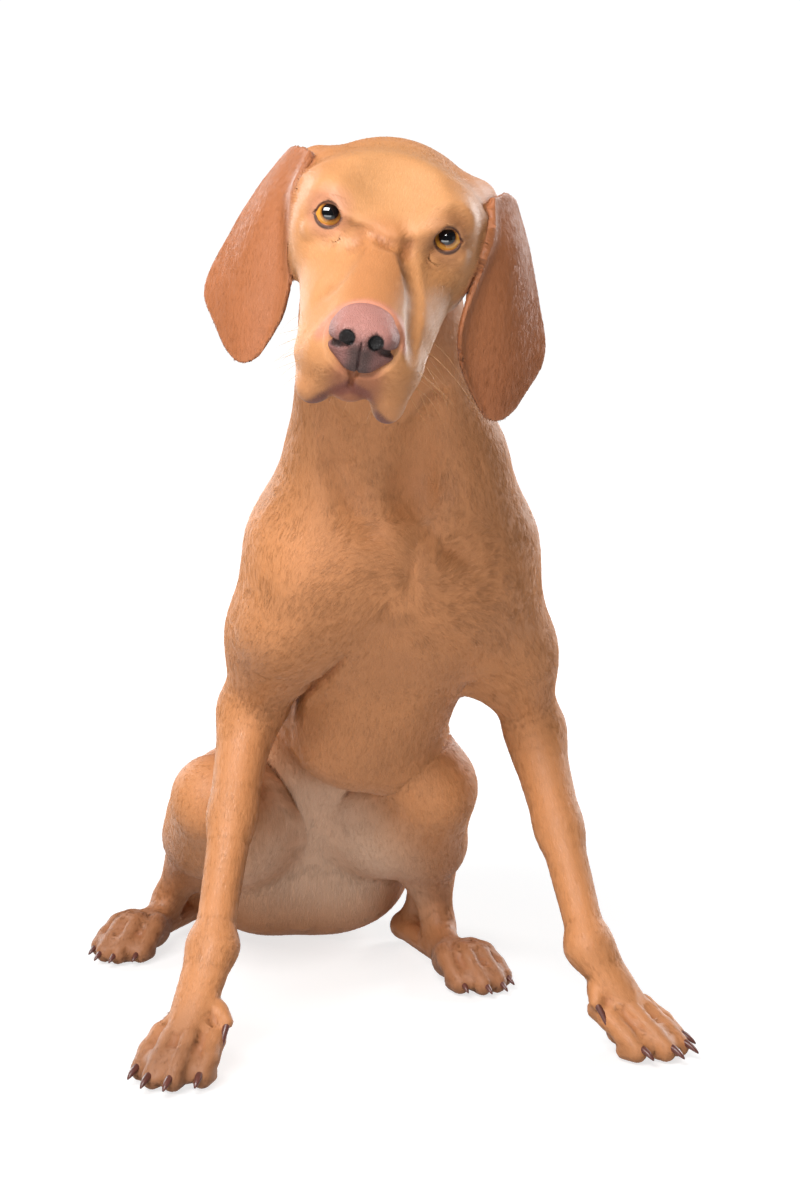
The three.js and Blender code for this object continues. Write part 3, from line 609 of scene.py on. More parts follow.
def hull_of(form):
    """A rough closed shape round one form."""
    if isinstance(form, Leaf):
        bm = ear_sheet(form.curves, form.side)
        bm.normal_update()
        half = {tuple(v.co): v.normal * EAR_THICKNESS * 0.6 for v in bm.verts}
        made = bmesh.ops.extrude_face_region(bm, geom=bm.faces[:], use_keep_orig=True)
        fresh = {v for v in made["geom"] if isinstance(v, bmesh.types.BMVert)}
        for v in bm.verts:
            v.co += half[tuple(v.co)] * (1 if v in fresh else -1)
        bmesh.ops.recalc_face_normals(bm, faces=bm.faces)
        return bm
    bm = bmesh.new()
    stretch = Matrix.Identity(4)
    if form.wide is not None:
        stretch = Matrix.Scale(form.ratio, 4, Vector(form.wide))
    for end, radius in ((form.a, form.ra), (form.b, form.rb)):
        matrix = Matrix.Translation(Vector(end)) @ stretch @ Matrix.Scale(radius, 4)
        bmesh.ops.create_icosphere(bm, subdivisions=2, radius=1, matrix=matrix)
    made = bmesh.ops.convex_hull(bm, input=bm.verts)
    spare = [v for v in made["geom_interior"] if isinstance(v, bmesh.types.BMVert)]
    bmesh.ops.delete(bm, geom=spare, context="VERTS")
    return bm


def as_mesh(bm, name):
    mesh = bpy.data.meshes.new(name)
    bm.to_mesh(mesh)
    bm.free()
    return mesh


def placed(name, mesh):
    obj = bpy.data.objects.new(name, mesh)
    bpy.context.scene.collection.objects.link(obj)
    return obj


def evaluated(obj):
    """The object's mesh with its modifiers applied, and the object removed."""
    graph = bpy.context.evaluated_depsgraph_get()
    mesh = bpy.data.meshes.new_from_object(obj.evaluated_get(graph))
    old = obj.data
    bpy.data.objects.remove(obj)
    bpy.data.meshes.remove(old)
    return mesh


def melt(body, voxel):
    """One closed mesh round all the forms that add flesh."""
    whole = bmesh.new()
    for form in body.forms:
        if form.carve:
            continue
        mesh = as_mesh(hull_of(form), "hull")
        whole.from_mesh(mesh)
        bpy.data.meshes.remove(mesh)
    obj = placed("melt", as_mesh(whole, "melt"))
    remesh = obj.modifiers.new("remesh", "REMESH")
    remesh.mode = "VOXEL"
    remesh.voxel_size = voxel
    return evaluated(obj)


def read(items, key, size, kind=np.float32):
    """A row of values for each item of a mesh."""
    flat = np.empty(len(items) * size, kind)
    items.foreach_get(key, flat)
    return flat.reshape(-1, size)


def get_points(mesh):
    return read(mesh.vertices, "co", 3).astype(float)


def set_points(mesh, points):
    mesh.vertices.foreach_set("co", np.asarray(points, np.float32).ravel())
    mesh.update()


def thin_out(mesh, fine, ratio):
    """Fewer triangles, and fewest where fine is low."""
    obj = placed("thin", mesh)
    group = obj.vertex_groups.new(name="coarse")
    weight = np.round(1 - np.clip(fine, 0, 1), 1)
    for value in np.unique(weight):
        group.add(np.nonzero(weight == value)[0].tolist(), float(value), "REPLACE")
    thin = obj.modifiers.new("thin", "DECIMATE")
    thin.ratio = ratio
    thin.vertex_group = "coarse"
    thin.use_collapse_triangulate = True
    return evaluated(obj)


def refine(mesh, wanted):
    """Halves the edges whose two ends are both wanted, and closes up with triangles."""
    bm = bmesh.new()
    bm.from_mesh(mesh)
    edges = [e for e in bm.edges if wanted[e.verts[0].index] and wanted[e.verts[1].index]]
    bmesh.ops.subdivide_edges(bm, edges=edges, cuts=1, use_grid_fill=True)
    bmesh.ops.triangulate(bm, faces=bm.faces)
    bm.to_mesh(mesh)
    bm.free()


def near_place(points, place, reach, soft):
    away = np.linalg.norm(points - place, axis=1)
    return np.clip((reach - away) / soft, 0, 1)


def level_at(points):
    """How deep the skin lies under the tips of the coat."""
    face = near_place(points, in_head([0, -40, -30]), 120, 40)
    depth = COAT_DEPTH - 0.7 * face
    for s in (-1, 1):
        eye, out, _, _ = eye_axes(s)
        depth -= 0.5 * near_place(points, in_head(eye + out * 10), 14, 6)
    depth += 2.6 * near_place(points, in_head([-1, -100, -29]), 26, 5)  # room for the nose
    depth += 6 * near_place(points, in_head([-2, -104, -27]), 18, 4)  # and for its nostrils
    return -np.maximum(depth, 0.25)


def floor_flat(points):
    points[:, 2] = np.maximum(points[:, 2], 0.4)
    return points


def shade_smooth(mesh):
    mesh.polygons.foreach_set("use_smooth", np.ones(len(mesh.polygons), bool))


def make_skin():
    mesh = melt(dog, SKIN_VOXEL)
    points = get_points(mesh)
    points = dog.settle(points, level_at(points), 4)
    set_points(mesh, points)
    fine = near_place(points, in_head([0, 20, -40]), 190, 40)
    for leg in (*FORELEGS.values(), *HINDLEGS.values()):
        fine = np.maximum(fine, 0.8 * near_place(points, vec(*leg["toes"], 20), 80, 20))
    mesh = thin_out(mesh, fine, SKIN_KEEP)
    for reach in (None, 17):
        points = get_points(mesh)
        near = np.zeros(len(points))
        if reach is None:  # the front of the face
            near = near_place(points, in_head([0, -90, -50]), 54, 1)
            near += near_place(points, in_head([4, -8, 6]), 40, 1)
        for s in (-1, 1):
            eye, out, _, _ = eye_axes(s)
            near += near_place(points, in_head(eye + out * 8), reach or 26, 1)
        refine(mesh, near > 0)
        points = get_points(mesh)
        points = dog.settle(points, level_at(points), 3)
        set_points(mesh, points)
    set_points(mesh, floor_flat(points))
    return mesh


skin_mesh = make_skin()


# ---- Colours ---------------------------------------------------------------------------------
def paint(*rgb):
    """An sRGB colour as the linear values that materials take."""
    c = np.array(rgb, float) / 255
    return np.where(c <= 0.04045, c / 12.92, ((c + 0.055) / 1.055) ** 2.4)


GOLD = paint(192, 128, 79)
PALE_GOLD = paint(200, 148, 96)
RUSSET = paint(172, 102, 54)
EAR_RUSSET = paint(158, 92, 54)
DEEP_RUSSET = paint(140, 78, 42)
CREAM = paint(222, 186, 158)
PAW_BROWN = paint(140, 92, 60)
LID_BROWN = paint(66, 38, 28)
LID_PINK = paint(186, 124, 104)
LIP = paint(104, 58, 52)
LIP_RED = paint(140, 74, 56)
SHADOW_BROWN = paint(150, 96, 62)
NOSE_SKIN = paint(196, 126, 104)
LEATHER, LEATHER_TOP = paint(124, 82, 76), paint(166, 112, 102)
LEATHER_DARK, LEATHER_GROOVE_SHADE = paint(70, 50, 46), paint(60, 32, 30)
NOSTRIL_SHADE = paint(10, 5, 5)
WHISKER_GOLD = paint(200, 150, 96)
CLAW_BROWN = paint(92, 52, 44)
IRIS_GOLD, IRIS_BROWN = paint(216, 150, 60), paint(112, 60, 22)
PUPIL_BLACK = (0.004, 0.004, 0.005)


def soft_step(x, low, high):
    t = np.clip((x - low) / (high - low), 0, 1)
    return t * t * (3 - 2 * t)


def along_path(points, places, reach, soft):
    """1 near a run of places, falling to 0 over soft mm past reach."""
    away = np.full(len(points), 1e3)
    for a, b in zip(places, places[1:]):
        a, b = np.asarray(a, float), np.asarray(b, float)
        t = np.clip((points - a) @ (b - a) / ((b - a) @ (b - a)), 0, 1)
        away = np.minimum(away, np.linalg.norm(points - a - t[:, None] * (b - a), axis=1))
    return soft_step(reach + soft - away, 0, soft)


def vertex_normals(mesh):
    return read(mesh.vertices, "normal", 3).astype(float)


def hollowness(mesh, points, normals):
    """How far each vertex lies in a groove, from the mean of its neighbours."""
    pairs = read(mesh.edges, "vertices", 2, np.int32)
    value = np.zeros(len(points))
    count = np.bincount(pairs.ravel(), minlength=len(points))
    length = np.linalg.norm(points[pairs[:, 0]] - points[pairs[:, 1]], axis=1)
    for a, b in ((0, 1), (1, 0)):
        step = points[pairs[:, b]] - points[pairs[:, a]]
        bend = np.einsum("ij,ij->i", step, normals[pairs[:, a]]) / length**2
        value += np.bincount(pairs[:, a], bend, len(points))
    value /= np.maximum(count, 1)
    for _ in range(3):
        total = np.bincount(pairs[:, 0], value[pairs[:, 1]], len(points))
        total += np.bincount(pairs[:, 1], value[pairs[:, 0]], len(points))
        value = (value + total / np.maximum(count, 1)) / 2
    return value


def lay_paint(colour, mask, paint_colour, amount=1.0):
    """Mixes a paint into the colours, by the mask times the amount."""
    m = np.clip(mask * amount, 0, 1)[:, None]
    colour[:] = colour * (1 - m) + paint_colour * m


def coat_paint(points, normals, shaded_grooves):
    """The colour of the coat at each place, in the modelling frame, with painted shade in its grooves."""
    colour = np.tile(GOLD, (len(points), 1))
    h = to_head(points)

    def lay(*layer):
        lay_paint(colour, *layer)
    _, y, z = points.T
    dorsal = soft_step(normals @ unit([0, 0.8, 0.6]), 0.1, 0.9) * soft_step(y, -150, -40)
    lay(dorsal, RUSSET, 0.75)
    lay(soft_step(z, 150, 60) * (y > -60), RUSSET, 0.3)
    belly = near_place(points, vec(-60, 40, 110), 120, 60) * soft_step(-normals[:, 1], 0.1, 0.7)
    lay(belly, CREAM, 0.75)
    for leg in HINDLEGS.values():
        lay(near_place(points, vec(*leg["toes"], 20), 120, 60), PAW_BROWN, 0.75)
    for leg in FORELEGS.values():
        brown = 0.85 if leg["side"] < 0 else 0.3
        lay(near_place(points, vec(*leg["toes"], 10), 75, 50), PAW_BROWN, brown)
        elbow = vec(*leg["elbow"]) + vec(0, 25, 0)
        lay(near_place(points, elbow, 34, 20), DEEP_RUSSET, 0.4)
    lay(soft_step(-h[:, 1], -60, 0) * near_place(points, in_head([0, 0, 0]), 140, 30), PALE_GOLD, 0.35)
    lay(near_place(points, in_head([0, 40, 30]), 62, 40), PALE_GOLD, 0.5)
    bridge = along_path(points, [in_head([0, -20, 0]), in_head([0, -70, -8])], 12, 14)
    lay(bridge, RUSSET, 0.4)
    for leaf in [f for f in dog.forms if isinstance(f, Leaf)]:
        inside = np.nonzero(np.all((points > leaf.low) & (points < leaf.high), axis=1))[0]
        near = np.zeros(len(points))
        near[inside] = soft_step(4 - leaf.distance(points[inside]), 0, 3)
        lay(near, EAR_RUSSET, 0.85)
    for s in (-1, 1):
        eye, out, corner, up = eye_axes(s)
        away = points - in_head(eye + out * 9 - up * 0.7)
        round_eye = near_place(points, in_head(eye + out * 9 - up * 3), 21, 9)
        lay(round_eye, LID_PINK if s < 0 else SHADOW_BROWN, 0.5)
        lay(near_place(points, in_head(eye + out * 9 - corner * 13 - up * 4), 9, 6), LID_BROWN, 0.45)
        rim = np.abs(np.linalg.norm(away - np.outer(away @ along_head(out), along_head(out)), axis=1) - 8.7)
        close = np.linalg.norm(away, axis=1) < 12.5
        above = away @ along_head(up) > -1
        lay(soft_step(np.where(above, 1.7, 1.0) - rim, 0, 0.8) * close, LID_BROWN, 0.95)
    lay(along_path(points, NOSE_EDGE, 3, 6), NOSE_SKIN, 0.75)
    lay(along_path(points, LIP_EDGE, 3, 5), LIP, 0.9)
    lay(along_path(points, [in_head([0, -108, -54]), in_head([0, -106, -66])], 11, 12), LIP_RED, 0.6)
    # painted shade: the coat is darkened where the skin lies in a groove
    lay(soft_step(shaded_grooves, 0.004, 0.05), DEEP_RUSSET, 0.5)
    return colour


NOSE_EDGE = [
    in_head(p)
    for p in ([-28, -94, -34], [-22, -88, -16], [0, -86, -8], [20, -88, -14], [27, -94, -30])
]
LIP_EDGE = [
    in_head(p)
    for p in (
        [-34, -30, -80], [-32, -70, -88], [-27, -97, -90], [-16, -107, -74], [-4, -108, -62],
        [6, -107, -66], [14, -104, -82], [26, -98, -92], [33, -70, -90], [34, -30, -80],
    )
]

skin_points = get_points(skin_mesh)
skin_normals = vertex_normals(skin_mesh)
skin_paint = coat_paint(skin_points, skin_normals, hollowness(skin_mesh, skin_points, skin_normals))


def store_paint(mesh, colours, name="paint"):
    layer = mesh.color_attributes.new(name, "FLOAT_COLOR", "POINT")
    flat = np.ones((len(colours), 4), np.float32)
    flat[:, :3] = colours
    layer.data.foreach_set("color", flat.ravel())


# painted shade: the skin between the tufts is darkened
store_paint(skin_mesh, skin_paint * UNDERCOAT_SHADE)
set_points(skin_mesh, to_part(skin_points))
shade_smooth(skin_mesh)
skin = placed("skin", skin_mesh)


def unwrap(obj):
    """A flat map of the skin's own shape."""
    bpy.context.view_layer.objects.active = obj
    obj.select_set(True)
    bpy.ops.object.mode_set(mode="EDIT")
    bpy.ops.mesh.select_all(action="SELECT")
    obj.data.uv_layers.new(name="OFBake")
    bpy.ops.uv.smart_project(angle_limit=math.radians(66), island_margin=0.002)
    bpy.ops.object.mode_set(mode="OBJECT")
    obj.select_set(False)


unwrap(skin)
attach(skin, "root")
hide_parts(*[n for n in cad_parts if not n.startswith(("claw", "eye", "nose"))])


# ---- Coat: short tufts that lie along the body ------------------------------------------------
WHORL = vec(10, -210, 362)  # where the hair of the chest parts
TUFTS = 340000
PIECE_TUFTS = 48000  # the most in one piece of the coat
ROOT_DEPTH = 0.25  # how deep a tuft's root sits in the skin
PATCH = 0.003  # breadth of a tuft's patch on the skin's map


def coat_lie(points, normals):
    """The way the hair lies at each place, along the surface."""
    total = np.zeros_like(points)
    for form, index in zip(dog.forms, dog.near(points)):
        if form.carve or not len(index):
            continue
        weight = np.exp(-np.clip(form.distance(points[index]), -4, 60) / 7)
        total[index] += weight[:, None] * form.lie
    from_whorl = points - WHORL
    swirl = np.cross(normals, from_whorl) * 0.5 + from_whorl
    near = np.exp(-np.einsum("ij,ij->i", from_whorl, from_whorl) / 34**2)
    total += swirl / 20 * near[:, None] * 3
    total -= normals * np.einsum("ij,ij->i", total, normals)[:, None]
    return total / np.maximum(np.linalg.norm(total, axis=1), 1e-9)[:, None]


def coat_sizes(points):
    """Length and width of the hair tufts, in mm, and how many stand on a square mm."""
    length = np.full(len(points), 6.4)
    width = np.full(len(points), 0.52)
    crowd = np.full(len(points), 0.27)

    def lay(mask, values):
        for array, value in zip((length, width, crowd), values):
            array += mask * (value - array)

    for leg in (*FORELEGS.values(), *HINDLEGS.values()):
        lay(near_place(points, vec(*leg["toes"], 20), 130, 80), (4.2, 0.5, 0.55))
    for leg in FORELEGS.values():
        reach = along_path(points, [vec(*leg["elbow"]), vec(*leg["wrist"])], 30, 14)
        lay(reach, (5.5, 0.55, 0.4))
    lay(near_place(points, in_head([0, 30, -30]), 140, 30), (5.0, 0.52, 0.6))
    lay(near_place(points, in_head([0, -10, -20]), 100, 30), (3.6, 0.45, 1.3))
    lay(near_place(points, in_head([0, -90, -40]), 60, 25), (2.4, 0.36, 2.2))
    lay(near_place(points, vec(-70, 70, 60), 80, 40), (11, 0.8, 0.3))
    return length, width, crowd


def bare_places(points):
    """1 where no hair grows."""
    bare = np.zeros(len(points))
    for s in (-1, 1):
        eye, out, _, _ = eye_axes(s)
        away = points - in_head(eye)
        tilt = away @ along_head(out) / np.maximum(np.linalg.norm(away, axis=1), 1e-9)
        bare += (tilt > 0.66) & (np.linalg.norm(away, axis=1) < 15.5)
    bare += near_place(points, in_head([-1, -101, -29]), 23, 2) > 0
    bare += points[:, 2] < 1.5
    return bare > 0


def make_coat():
    mesh = skin_mesh
    corners = read(mesh.loops, "vertex_index", 1, np.int32).reshape(-1, 3)
    uv = read(mesh.uv_layers["OFBake"].data, "uv", 2).reshape(-1, 3, 2)
    lie = coat_lie(skin_points, skin_normals)
    length, width, crowd = coat_sizes(skin_points)
    crowd[bare_places(skin_points)] = 0
    a, b, c = (skin_points[corners[:, n]] for n in range(3))
    area = np.linalg.norm(np.cross(b - a, c - a), axis=1) / 2
    wanted = area * crowd[corners].mean(1)
    total = wanted.sum()
    count = int(min(total, TUFTS) * (1))
    chosen = np.searchsorted(np.cumsum(wanted) / total, rng.random(count), side="right")
    chosen = np.minimum(chosen, len(corners) - 1)
    w = rng.random((count, 2))
    w = np.where(w.sum(1, keepdims=True) > 1, 1 - w, w)
    w = np.column_stack([1 - w.sum(1), w])

    def spread(values):
        picked = values[corners[chosen]]
        return np.einsum("ij,ij...->i...", w, picked)

    root, up, way = spread(skin_points), spread(skin_normals), spread(lie)
    up /= np.linalg.norm(up, axis=1)[:, None]
    grow, wide, tone = spread(length), spread(width), spread(skin_paint)
    place = np.einsum("ij,ijk->ik", w, uv[chosen])
    side = np.cross(up, way)
    side /= np.maximum(np.linalg.norm(side, axis=1), 1e-9)[:, None]
    lean = rng.normal(0, 0.16, count)[:, None]
    way = np.cross(side, up)
    way, side = way + side * lean, side - way * lean
    grow *= rng.uniform(0.7, 1.25, count)
    lift = rng.uniform(0.3, 1.0, count) * np.where(grow > 5.5, 0.5, 0.22)
    tip = root + way * grow[:, None]
    tip = dog.settle(tip, level_at(tip) + lift, 1, 4)
    tip[:, 2] = np.maximum(tip[:, 2], 0.4)
    half = (wide / 2 * rng.uniform(0.75, 1.2, count))[:, None]
    deep = root - up * ROOT_DEPTH
    spine = root + up * half * 0.22 + way * half
    points = np.stack([deep - side * half, deep + side * half, spine, tip], 1)
    facing = up + rng.normal(0, 0.1, (count, 3))
    facing = np.repeat(facing[:, None, :], 4, 1)
    shade = rng.normal(1, 0.05, count)[:, None]
    warm = rng.random(count)[:, None]
    tone = tone * np.clip(shade, 0.55, 1.5)
    tone = tone * (1 + (warm - 0.5) * np.array([0.03, 0.09, 0.18]))
    ends = np.stack([tone * 0.97, tone * 0.97, tone * 1.0, tone * 1.06], 1)
    return points, ends, place, facing


def coat_piece(name, points, ends, place, facing):
    """One piece of the coat: each tuft a closed sliver of four triangles."""
    count = len(points)
    mesh = bpy.data.meshes.new(name)
    mesh.vertices.add(count * 4)
    mesh.loops.add(count * 12)
    mesh.polygons.add(count * 4)
    pattern = np.array([[0, 3, 2], [2, 3, 1], [1, 3, 0], [0, 2, 1]])
    index = (np.arange(count)[:, None, None] * 4 + pattern).ravel()
    mesh.vertices.foreach_set("co", to_part(points.reshape(-1, 3)).astype(np.float32).ravel())
    mesh.loops.foreach_set("vertex_index", index.astype(np.int32))
    mesh.polygons.foreach_set("loop_start", np.arange(0, count * 12, 3, dtype=np.int32))
    mesh.update(calc_edges=True)
    shade_smooth(mesh)
    facing = facing.reshape(-1, 3) / np.linalg.norm(facing.reshape(-1, 3), axis=1)[:, None]
    mesh.normals_split_custom_set_from_vertices(facing.astype(np.float32))  # lit as the skin is
    store_paint(mesh, ends.reshape(-1, 3))
    patch = np.array([[-1, -1], [1, -1], [0, 0], [0, 1]]) * PATCH / 2
    uv = (place[:, None, :] + patch[None]).reshape(-1, 2)[index]
    mesh.uv_layers.new(name="OFBake").data.foreach_set("uv", uv.astype(np.float32).ravel())
    mesh.materials.append(coat_material)
    obj = placed(name, mesh)
    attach(obj, "root")
    return obj


# ---- Materials -------------------------------------------------------------------------------
def feed(tree, made, feeds):
    """Sets a shader node's inputs, or links them where the value is another node's output."""
    for key, value in feeds.items():
        if isinstance(value, bpy.types.NodeSocket):
            tree.links.new(value, made.inputs[key])
        else:
            made.inputs[key].default_value = value


def node(tree, kind, feeds=None, **settings):
    made = tree.nodes.new(kind)
    for key, value in settings.items():
        setattr(made, key, value)
    feed(tree, made, feeds or {})
    return made


def number(tree, operation, *values):
    """The result of one sum on numbers or on other nodes' outputs."""
    return node(tree, "ShaderNodeMath", dict(enumerate(values)), operation=operation).outputs[0]


def vector(tree, operation, feeds):
    return node(tree, "ShaderNodeVectorMath", feeds, operation=operation).outputs


def object_place(tree):
    return node(tree, "ShaderNodeTexCoord").outputs["Object"]


def noise(tree, place, scale, detail, roughness=0.5):
    feeds = {"Vector": place, "Scale": scale, "Detail": detail, "Roughness": roughness}
    return node(tree, "ShaderNodeTexNoise", feeds).outputs["Fac"]


def fine_grain_group():
    """Small uneven grain: a value round 1 that colours are multiplied by, and a height."""
    tree = bpy.data.node_groups.new("fine_grain", "ShaderNodeTree")
    for name, kind, way in (
        ("Scale", "NodeSocketFloat", "INPUT"),
        ("Contrast", "NodeSocketFloat", "INPUT"),
        ("Color", "NodeSocketColor", "INPUT"),
        ("Color", "NodeSocketColor", "OUTPUT"),
        ("Height", "NodeSocketFloat", "OUTPUT"),
    ):
        tree.interface.new_socket(name, in_out=way, socket_type=kind)
    start = node(tree, "NodeGroupInput").outputs
    place = object_place(tree)
    broad, small = noise(tree, place, 38, 3), noise(tree, place, start["Scale"], 4, 0.6)
    centred = number(tree, "SUBTRACT", number(tree, "ADD", broad, small), 1.0)
    scaled = number(tree, "MULTIPLY_ADD", centred, start["Contrast"], 1.0)
    tint = vector(tree, "SCALE", {0: start["Color"], "Scale": scaled})[0]
    node(tree, "NodeGroupOutput", {"Color": tint, "Height": small})
    return tree


GRAIN = fine_grain_group()


def fresh_material(name, roughness):
    made = bpy.data.materials.new(name)
    made.use_nodes = True
    shader = made.node_tree.nodes["Principled BSDF"]
    shader.inputs["Roughness"].default_value = roughness
    return made, made.node_tree, shader


def grained(tree, shader, colour, scale, contrast, bump, distance):
    """Runs a colour through the grain and its height through a bump."""
    if not isinstance(colour, bpy.types.NodeSocket):
        colour = (*colour, 1)
    feeds = {"Scale": scale, "Contrast": contrast, "Color": colour}
    grain = node(tree, "ShaderNodeGroup", feeds, node_tree=GRAIN).outputs
    feeds = {"Strength": bump, "Distance": distance, "Height": grain["Height"]}
    relief = node(tree, "ShaderNodeBump", feeds)
    feed(tree, shader, {"Base Color": grain["Color"], "Normal": relief.outputs["Normal"]})
    return relief


def painted(tree, name="paint"):
    return node(tree, "ShaderNodeVertexColor", layer_name=name).outputs["Color"]


def coat_materials():
    skin_look, tree, shader = fresh_material("coat_skin", 0.62)
    grained(tree, shader, painted(tree), 900, 0.2, 0.35, 0.0006)
    feed(tree, shader, {"Sheen Weight": 0.12, "Sheen Roughness": 0.4})
    hair_look, tree, shader = fresh_material("coat_hair", 0.45)
    grained(tree, shader, painted(tree), 260, 0.12, 0.0, 0.0001)
    return skin_look, hair_look


skin_material, coat_material = coat_materials()
skin_mesh.materials.append(skin_material)

tufts = make_coat()
roots = tufts[0][:, 0]
order = np.argsort(to_head(roots)[:, 1] - 1.2 * roots[:, 2])  # from the face down and back
pieces = max(1, math.ceil(len(order) / PIECE_TUFTS))
for n, chunk in enumerate(np.array_split(order, pieces)):
    coat_piece(f"coat_{n + 1}", *(values[chunk] for values in tufts))


# ---- Eyes ------------------------------------------------------------------------------------
PUPIL, IRIS = 5.2, 9.5
EYE_MAP = 44  # breadth of the eye's own map, in mm
LOOK = np.array([-0.03, -0.73, 0.68])  # the way the left eye looks, in the head's own axes


def make_eye(name, side):
    out = along_head(unit(LOOK * [side, 1, 1]))
    centre = in_head(EYE_PLACE * [side, 1, 1])
    bm = bmesh.new()
    bmesh.ops.create_uvsphere(bm, u_segments=64, v_segments=48, radius=EYE_RADIUS)
    layer = bm.loops.layers.uv.new("iris")
    for face in bm.faces:
        for loop in face.loops:
            x, y, z = loop.vert.co
            far = 1 if z > 0 else 3
            loop[layer].uv = (0.5 + x * far / EYE_MAP, 0.5 + y * far / EYE_MAP)
    for vert in bm.verts:
        tilt = vert.co.z / EYE_RADIUS
        if tilt > 0.6:
            vert.co *= 1 + 0.12 * soft_step(tilt, 0.6, 1.0)
    up = along_head([0, 0, 1])
    up = unit(up - out * (up @ out))
    frame_axes = Matrix((Vector(np.cross(up, out)), Vector(up), Vector(out))).transposed().to_4x4()
    bmesh.ops.transform(bm, matrix=frame_axes, verts=bm.verts)
    for vert in bm.verts:
        vert.co = Vector(to_part(np.array(vert.co) + centre))
    mesh = as_mesh(bm, name)
    shade_smooth(mesh)
    mesh.materials.append(eye_material)
    obj = placed(name, mesh)
    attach(obj, "root")
    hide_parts(name)
    obj.name = name + "_ball"


def eye_look():
    look, tree, shader = fresh_material("eye_amber", 0.08)
    place = node(tree, "ShaderNodeUVMap", uv_map="iris").outputs[0]
    centred = vector(tree, "SUBTRACT", {0: place, 1: (0.5, 0.5, 0)})[0]
    far = vector(tree, "LENGTH", {0: centred})["Value"]
    centimetres = number(tree, "MULTIPLY", far, EYE_MAP / 10)
    fibres = noise(tree, vector(tree, "NORMALIZE", {0: centred})[0], 9, 5, 0.7)
    wobble = number(tree, "MULTIPLY_ADD", fibres, 0.05, centimetres)
    ramp = node(tree, "ShaderNodeValToRGB", {0: wobble})
    stops = [
        (0.0, PUPIL_BLACK),
        (PUPIL / 10, PUPIL_BLACK),
        (PUPIL / 10 + 0.04, tuple(IRIS_BROWN)),
        (0.64, tuple(IRIS_GOLD * 0.55)),
        (0.73, tuple(IRIS_GOLD)),
        (IRIS / 10 - 0.03, tuple(IRIS_GOLD)),
        (IRIS / 10 + 0.03, (0.03, 0.012, 0.006)),
        (1.0, (0.12, 0.06, 0.04)),
    ]
    ramp.color_ramp.elements.remove(ramp.color_ramp.elements[1])
    for n, (at, colour) in enumerate(stops):
        stop = ramp.color_ramp.elements[0] if n == 0 else ramp.color_ramp.elements.new(at)
        stop.position = at
        stop.color = (*colour, 1)
    wet = {"Base Color": ramp.outputs["Color"], "Coat Weight": 1.0, "Coat Roughness": 0.02}
    feed(tree, shader, wet)
    return look


eye_material = eye_look()
for name, side in (("eye_left", 1), ("eye_right", -1)):
    make_eye(name, side)


# ---- Nose ------------------------------------------------------------------------------------
def make_nose():
    nose = Body()
    across = along_head([1, 0, 0])

    def form(a, b, ra, rb, blend, ratio=1.0, make=None):
        (make or nose.form)(in_head(a), in_head(b), ra, rb, blend, across, ratio)

    form([-1, -92, -28], [-1, -98, -30], 15.5, 13.5, 5, 1.35)  # body of the leather
    form([-1, -88, -22], [-1, -99, -24], 10.5, 10, 8, 1.6)  # top pad
    form([-1, -104, -28], [-1, -105, -43], 8, 6.5, 6, 1.15)  # column between the nostrils
    for s in (-1, 1):
        form([s * 11 - 1, -101, -25.5], [s * 14.5 - 1, -97, -28], 8.8, 8.2, 5)  # wing
        form([s * 6 - 1, -105, -41.5], [s * 15.5 - 1, -100, -36.5], 6.8, 6.2, 5)  # rim below the slit
    for s in (-1, 1):
        form([s * 9.2 - 2, -117, -21.5], [s * 9.6 - 2, -100, -27], 5.0, 4.0, 2.5, make=nose.hollow)
        slit = ([11, -111, -27.5], [15, -108, -31], [19.5, -103, -33], [24, -97, -33])
        crease(nose, [in_head([s * x - 1, y, z]) for x, y, z in slit], 2.2, 2.6, 2)
    middle = ([-1.5, -113, -24], [-1.5, -113, -34], [-1, -111, -48], [-1, -106, -54])
    crease(nose, [in_head(p) for p in middle], 0.7, 0.8, 1.0)
    mesh = melt(nose, 0.75)
    points = nose.settle(get_points(mesh), 0, 5)
    set_points(mesh, points)
    normals = vertex_normals(mesh)
    h = to_head(points)
    colour = np.tile(LEATHER, (len(points), 1))
    lay_paint(colour, soft_step(h[:, 2], -28, -15), LEATHER_TOP)
    middle = soft_step(12 - np.abs(h[:, 0] + 1), 0, 8) * soft_step(-h[:, 2], 20, 32)
    lay_paint(colour, middle, LEATHER_DARK, 0.9)
    # painted shade: the leather is darkened in its grooves and creases
    shaded_grooves = soft_step(hollowness(mesh, points, normals), 0.02, 0.16)
    lay_paint(colour, shaded_grooves, LEATHER_GROOVE_SHADE, 0.85)
    # painted shade: the nostrils' slits and passages are painted near black
    hole = np.zeros(len(points))
    for s in (-1, 1):
        slit = ([11, -111, -27.5], [15, -108, -31], [19.5, -103, -33])
        slit = [in_head([s * x - 1, y, z]) for x, y, z in slit]
        passage = [in_head([s * 9.3 - 2, -109, -24.2]), in_head([s * 9.6 - 2, -98, -27])]
        hole = np.maximum(hole, 0.8 * along_path(points, slit, 2, 1.5))
        hole = np.maximum(hole, along_path(points, passage, 5.0, 1.2))
    lay_paint(colour, hole, NOSTRIL_SHADE)
    store_paint(mesh, colour)
    set_points(mesh, to_part(points))
    shade_smooth(mesh)
    look, tree, shader = fresh_material("nose_leather", 0.52)
    relief = grained(tree, shader, painted(tree), 500, 0.35, 1.0, 0.0012)
    cells = {"Vector": object_place(tree), "Scale": 620}
    pebbles = node(tree, "ShaderNodeTexVoronoi", cells, feature="DISTANCE_TO_EDGE")
    flat_top = number(tree, "MINIMUM", pebbles.outputs["Distance"], 0.2)
    feed(tree, relief, {"Height": flat_top})
    mesh.materials.append(look)
    obj = placed("nose_pad", mesh)
    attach(obj, "root")
    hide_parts("nose")


make_nose()
